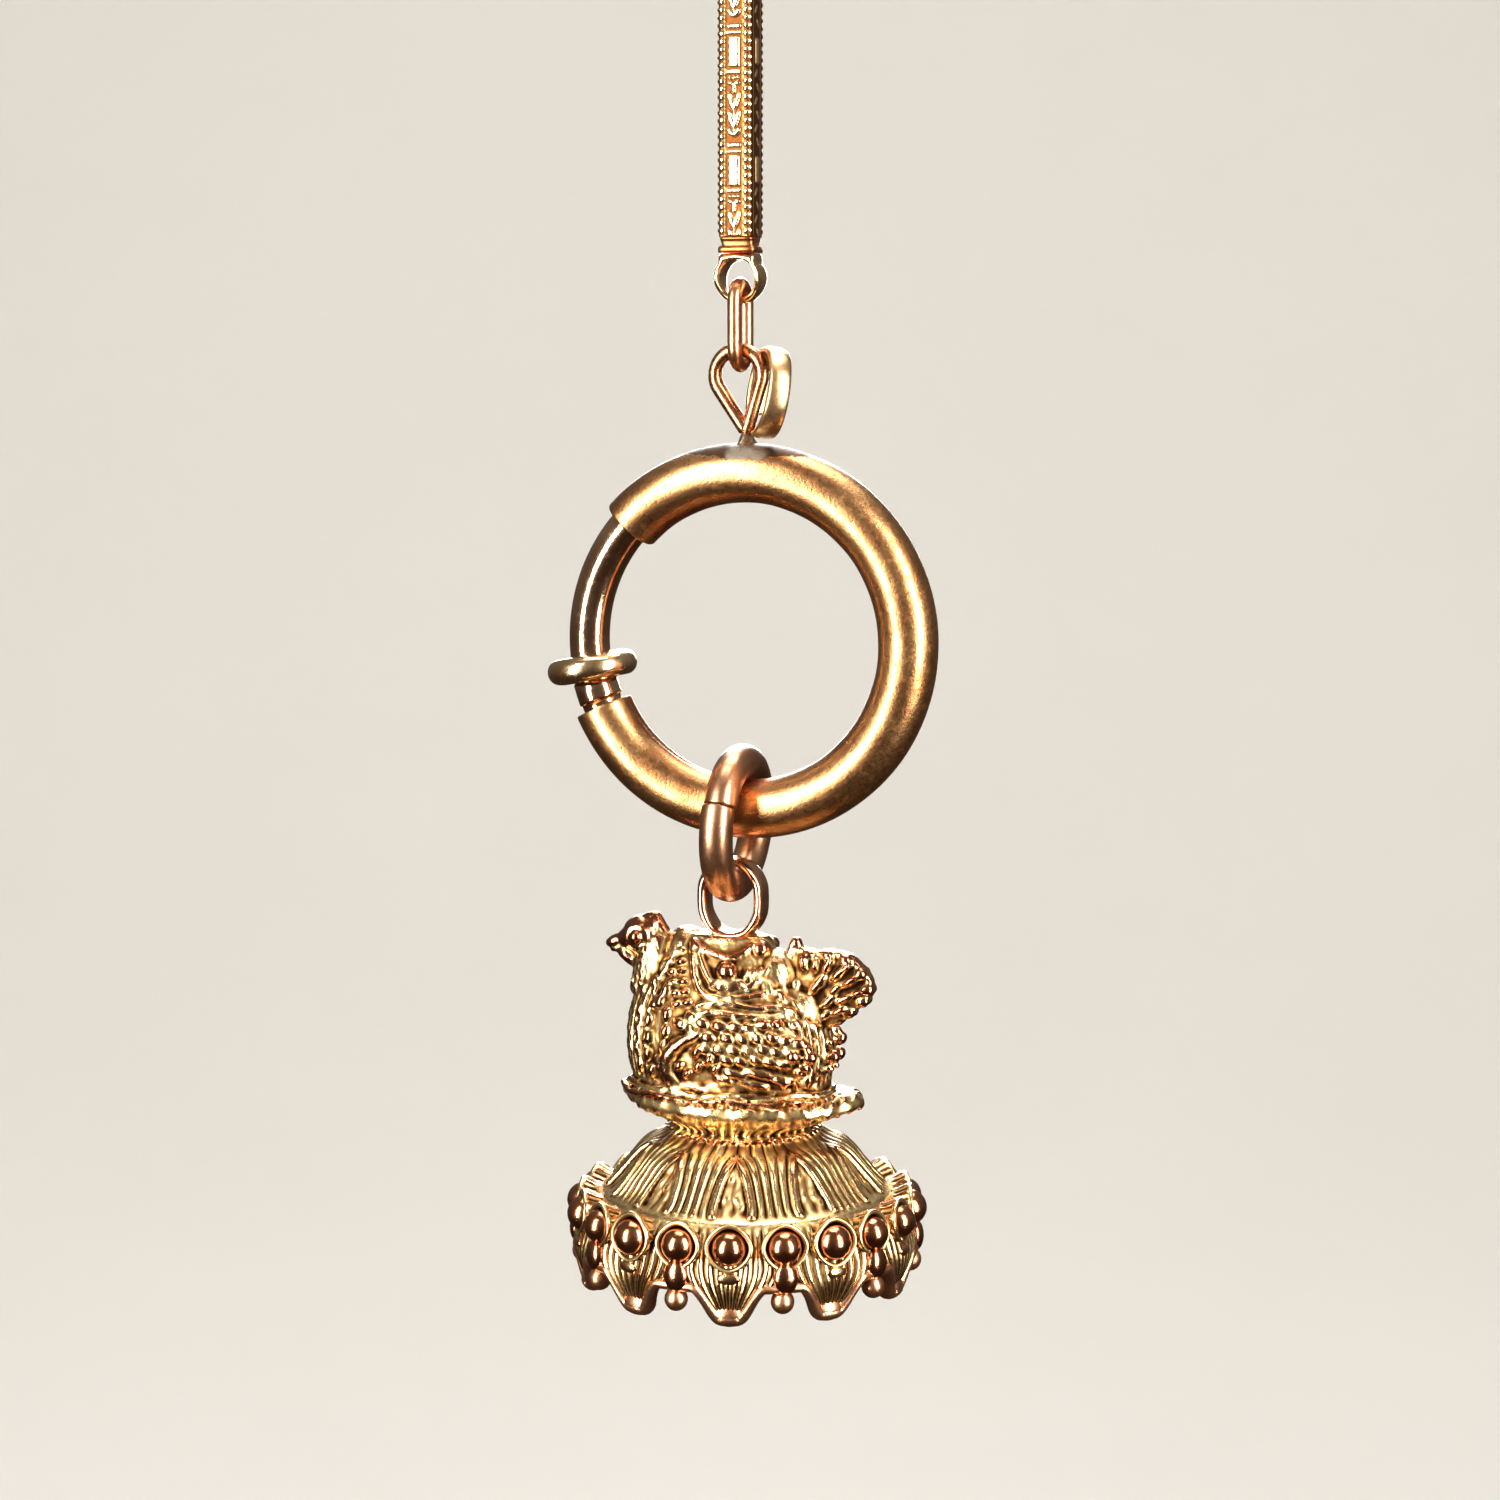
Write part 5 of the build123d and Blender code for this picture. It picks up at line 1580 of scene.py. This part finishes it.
def fused(name, shape, grain, passes):
    """Mesh of several overlapping closed surfaces made one by a voxel remesh, in millimetres,
    then smoothed by averaging each point with its neighbours."""
    points, faces = shape
    mesh = bpy.data.meshes.new(name)
    mesh.from_pydata(points.tolist(), [], faces.tolist())
    piece = bpy.data.objects.new(name, mesh)
    bpy.context.scene.collection.objects.link(piece)
    remesh = piece.modifiers.new("fuse", "REMESH")
    remesh.mode = "VOXEL"
    remesh.voxel_size = grain
    smooth = piece.modifiers.new("smooth", "SMOOTH")
    smooth.factor = 0.5
    smooth.iterations = passes
    graph = bpy.context.evaluated_depsgraph_get()
    result = bpy.data.meshes.new_from_object(piece.evaluated_get(graph))
    piece.modifiers.clear()
    piece.data = result
    bpy.data.meshes.remove(mesh)
    result.name = name
    result.transform(Matrix.Scale(MM, 4))
    roughen(result)
    return piece


def roughen(mesh):
    """Moves each point along its normal by the cast skin's unevenness."""
    points = mesh_points(mesh)
    skin = 0.016 * rough_cast(points, 0.70, 11) + 0.006 * rough_cast(points, 0.34, 12)
    points = points + mesh_normals(mesh) * skin[:, None]
    mesh.vertices.foreach_set("co", (points * MM).astype(np.float32).ravel())
    mesh.update()


# Operators


class FOB_OT_bar(bpy.types.Operator):
    """Engraved bar of the watch chain with a step and a loop at each end"""

    bl_idname = "fob.bar"
    bl_label = "Chain bar"

    def execute(self, context):
        size = context.scene.fob_bar
        top = top_of_bar(size)
        low_end = top - mm(size.body)
        engraved = engraved_metal()
        body, relief = bar_body(size, top)
        add_piece("chain_bar_body", body, engraved, "ring_and_chain", ["chain_bar"], relief)
        copper = smooth_metal("Dark copper step")
        steps = joined(bar_step(low_end, -1), bar_step(top, 1))
        add_piece("chain_bar_steps", steps, copper, "ring_and_chain", ["chain_bar"])
        loop = smooth_metal("Worn polished gold loop")
        loops = joined(bar_loop(size, low_end + top, 1), bar_loop(size, 0.0, -1))
        add_piece("chain_bar_loops", loops, loop, "ring_and_chain", ["chain_bar"])
        return {"FINISHED"}


class FOB_OT_link(bpy.types.Operator):
    """Small copper link between the bar's loop and the bolt ring's eye"""

    bl_idname = "fob.link"
    bl_label = "Small link"

    def execute(self, context):
        copper = smooth_metal("Brushed copper wire")
        shape = small_link(context.scene.fob_link)
        add_piece("small_link", shape, copper, "ring_and_chain", ["bar_link"])
        return {"FINISHED"}


class FOB_OT_ring(bpy.types.Operator):
    """Hollow tube of the bolt ring with its solder"""

    bl_idname = "fob.ring"
    bl_label = "Bolt ring"

    def execute(self, context):
        size, finish = context.scene.fob_ring, context.scene.fob_finish
        gold = tube_metal(size, finish)
        add_piece("bolt_ring_tube", ring_tube(size), gold, "ring_and_chain", ["bolt_ring"])
        grey = smooth_metal("Grey solder")
        add_piece("bolt_ring_solder", ring_solder(size), grey, "ring_and_chain", ["bolt_ring"])
        return {"FINISHED"}


class FOB_OT_eyes(bpy.types.Operator):
    """Copper wire eye and the flat eye beside it"""

    bl_idname = "fob.eyes"
    bl_label = "Ring eyes"

    def execute(self, context):
        size = context.scene.fob_eye
        copper = smooth_metal("Copper eye wire")
        add_piece("bolt_ring_eye", wire_eye(size), copper, "ring_and_chain", ["bolt_ring"])
        band = smooth_metal("Pale brass band")
        add_piece("bolt_ring_side_eye", side_eye(size), band, "ring_and_chain", ["bolt_ring"])
        return {"FINISHED"}


class FOB_OT_bolt(bpy.types.Operator):
    """Sliding bolt of the bolt ring with its sleeve and collar"""

    bl_idname = "fob.bolt"
    bl_label = "Sliding bolt"

    def execute(self, context):
        size = context.scene.fob_ring
        polished = smooth_metal("Polished rosy gold bolt")
        add_piece("bolt_rod", ring_bolt(size), polished, "bolt", ["bolt"])
        pale = smooth_metal("Pale brass collar")
        add_piece("bolt_collar", bolt_collar(size), pale, "bolt", ["bolt"])
        return {"FINISHED"}


class FOB_OT_jump(bpy.types.Operator):
    """Thick copper jump ring with its butt seam"""

    bl_idname = "fob.jump"
    bl_label = "Jump ring"

    def execute(self, context):
        copper = smooth_metal("Satin copper ring")
        shape = jump_surface(context.scene.fob_jump)
        add_piece("jump_ring_wire", shape, copper, "jump_ring", ["jump_ring"])
        return {"FINISHED"}


class FOB_OT_hen(bpy.types.Operator):
    """Bail, hen and leaf plate of the seal"""

    bl_idname = "fob.hen"
    bl_label = "Hen"

    def execute(self, context):
        size, finish = context.scene.fob_seal, context.scene.fob_finish
        metal = cast_metal("Worn gilded cast hen", finish, (0.16, 0.36, 0.54, 0.78))
        hen = fused("seal_hen", hen_surface(size), mm(size.voxel), 3)
        finish_piece(hen, metal, "seal", ["seal"])
        cheek = hen_point(size, -0.495, 0.640, 0.0)
        mark_relief(hen, 0.40, 0.085, (cheek, 1.50))
        leaf = cast_metal("Worn gilded leaf plate", finish, (0.16, 0.38, 0.58, 0.84))
        plate = add_piece("seal_plate", plate_surface(size), leaf, "seal", ["seal"])
        mark_relief(plate, 0.30, 0.05)
        rose = smooth_metal("Polished rose gold bail")
        add_piece("seal_bail", bail_surface(size), rose, "seal", ["seal"])
        return {"FINISHED"}


class FOB_OT_base(bpy.types.Operator):
    """Ribbed dome and skirt of the seal with its beads, scalloped rim and hanging balls"""

    bl_idname = "fob.base"
    bl_label = "Seal base"

    def execute(self, context):
        size, finish = context.scene.fob_seal, context.scene.fob_finish
        metal = cast_metal("Worn gilded cast base", finish, (0.22, 0.40, 0.58, 0.86))
        base = add_piece("seal_base", base_surface(size), metal, "seal", ["seal"])
        mark_relief(base, 0.32, 0.075)
        worn = smooth_metal("Worn rose gold rim")
        add_piece("seal_rim", rim_surface(size), worn, "seal", ["seal"])
        cups = add_piece("seal_bead_cups", bead_surfaces(size), metal, "seal", ["seal"])
        mark_relief(cups, 0.3, 0.05)
        rose = smooth_metal("Polished copper rose ball")
        add_piece("seal_beads", bead_balls(size), rose, "seal", ["seal"])
        add_piece("seal_drops", drop_balls(size), worn, "seal", ["seal"])
        plain = smooth_metal("Plain satin gold face")
        for node in bpy.data.objects:
            if node.get("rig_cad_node") == "seal_face":
                node.data.materials.clear()
                node.data.materials.append(plain)
        return {"FINISHED"}


class FOB_OT_stage(bpy.types.Operator):
    """Backdrop, lights and camera"""

    bl_idname = "fob.stage"
    bl_label = "Stage"

    def execute(self, context):
        add_backdrop(context.scene.fob_finish)
        add_light("left_light", (-110, -200, 0), (0, 0, -45), (54, 280), 0.88, "fffaf3")
        add_light("right_light", (205, -95, 0), (0, 0, -45), (54, 280), 0.88, "fffaf3")
        add_light("top_light", (0, 50, 190), (0, 0, -50), (170, 170), 0.45, "ffffff")
        add_light("back_light", (-70, 230, 50), (0, 0, -45), (110, 220), 0.55, "ffffff")
        add_world(context.scene)
        add_camera(context.scene)
        return {"FINISHED"}


def add_backdrop(finish):
    """Floor that curves up into a wall all round: a profile of revolution."""
    flat, bend, wall_top, floor = 260.0, 260.0, 700.0, -190.0
    rise = np.linspace(0, pi / 2, 24)
    out = np.concatenate([[0.0, flat * 0.5], flat + bend * np.sin(rise), [flat + bend]])[:, None]
    up = np.concatenate([[0.0, 0.0], bend - bend * np.cos(rise), [wall_top]])[:, None] + floor
    around = np.linspace(0, 2 * pi, 96, endpoint=False)[None]
    points = np.stack([out * np.cos(around), out * np.sin(around), up + 0 * around], -1) * MM
    mesh = bpy.data.meshes.new("backdrop")
    faces = grid_faces(*points.shape[:2])
    mesh.from_pydata(points.reshape(-1, 3).tolist(), [], faces.tolist())
    mesh.polygons.foreach_set("use_smooth", np.ones(len(faces), bool))
    mesh.materials.append(backdrop_material(finish))
    backdrop = bpy.data.objects.new("backdrop", mesh)
    backdrop.visible_glossy = False
    bpy.context.scene.collection.objects.link(backdrop)


def add_light(name, place, aim, sides, watts, code):
    """Area light of a width and height, at a place in millimetres and aimed at another."""
    lamp = bpy.data.lights.new(name, "AREA")
    lamp.shape = "RECTANGLE"
    lamp.size = sides[0] * MM
    lamp.size_y = sides[1] * MM
    lamp.energy = watts
    lamp.spread = radians(110)
    lamp.color = linear(code)[:3]
    light = bpy.data.objects.new(name, lamp)
    light.location = Vector(place) * MM
    light.rotation_euler = (Vector(aim) - Vector(place)).to_track_quat("-Z", "Y").to_euler()
    bpy.context.scene.collection.objects.link(light)


def add_world(scene):
    """Soft warm surroundings, brighter above than below."""
    world = bpy.data.worlds.new("room")
    world.use_nodes = True
    tree = world.node_tree
    tree.nodes.clear()
    way = add_node(tree, "ShaderNodeTexCoord").outputs["Generated"]
    up = add_node(tree, "ShaderNodeSeparateXYZ", None, {0: way}).outputs[2]
    share = between(tree, up, -0.6, 0.8)
    shade = mixed(tree, share, linear("5f4d3e"), linear("c4beb4"))
    room = add_node(tree, "ShaderNodeBackground", None, {"Color": shade, "Strength": 0.40})
    add_node(tree, "ShaderNodeOutputWorld", None, {"Surface": room.outputs[0]})
    scene.world = world


def add_camera(scene):
    """Camera that sees the object as the photo does, from the right and a little above."""
    around, above, distance = radians(18.7), radians(6.5), 150.0
    target = Vector((0.5, 0.0, -50.4))
    back = Vector((sin(around) * cos(above), -cos(around) * cos(above), sin(above)))
    data = bpy.data.cameras.new("camera")
    data.lens = 71.4
    data.sensor_width = 36.0
    data.clip_start = 5 * MM
    data.clip_end = 5.0
    camera = bpy.data.objects.new("camera", data)
    camera.location = (target + back * distance) * MM
    camera.rotation_euler = (-back).to_track_quat("-Z", "Y").to_euler()
    scene.collection.objects.link(camera)
    scene.camera = camera
    scene.view_settings.view_transform = "Standard"


class FOB_PT_panel(bpy.types.Panel):
    """Sizes and steps of the fob seal"""

    bl_label = "Fob Seal"
    bl_idname = "FOB_PT_panel"
    bl_space_type = "VIEW_3D"
    bl_region_type = "UI"
    bl_category = "Fob Seal"

    def draw(self, context):
        for kind in STEPS:
            self.layout.operator(kind.bl_idname)
        for name, kind in SETTINGS.items():
            box = self.layout.box()
            box.label(text=kind.__name__)
            group = getattr(context.scene, name)
            for key in kind.__annotations__:
                box.prop(group, key)


STEPS = [
    FOB_OT_bar,
    FOB_OT_link,
    FOB_OT_ring,
    FOB_OT_eyes,
    FOB_OT_bolt,
    FOB_OT_jump,
    FOB_OT_hen,
    FOB_OT_base,
    FOB_OT_stage,
]
CLASSES = [*SETTINGS.values(), *STEPS, FOB_PT_panel]


def register():
    for kind in CLASSES:
        bpy.utils.register_class(kind)
    for name, kind in SETTINGS.items():
        setattr(bpy.types.Scene, name, bpy.props.PointerProperty(type=kind))


def unregister():
    for name in SETTINGS:
        delattr(bpy.types.Scene, name)
    for kind in reversed(CLASSES):
        bpy.utils.unregister_class(kind)


def main():
    register()
    bpy.ops.fob.bar()
    bpy.ops.fob.link()
    bpy.ops.fob.ring()
    bpy.ops.fob.eyes()
    bpy.ops.fob.bolt()
    bpy.ops.fob.jump()
    bpy.ops.fob.hen()
    bpy.ops.fob.base()
    bpy.ops.fob.stage()


if __name__ == "__main__":
    main()
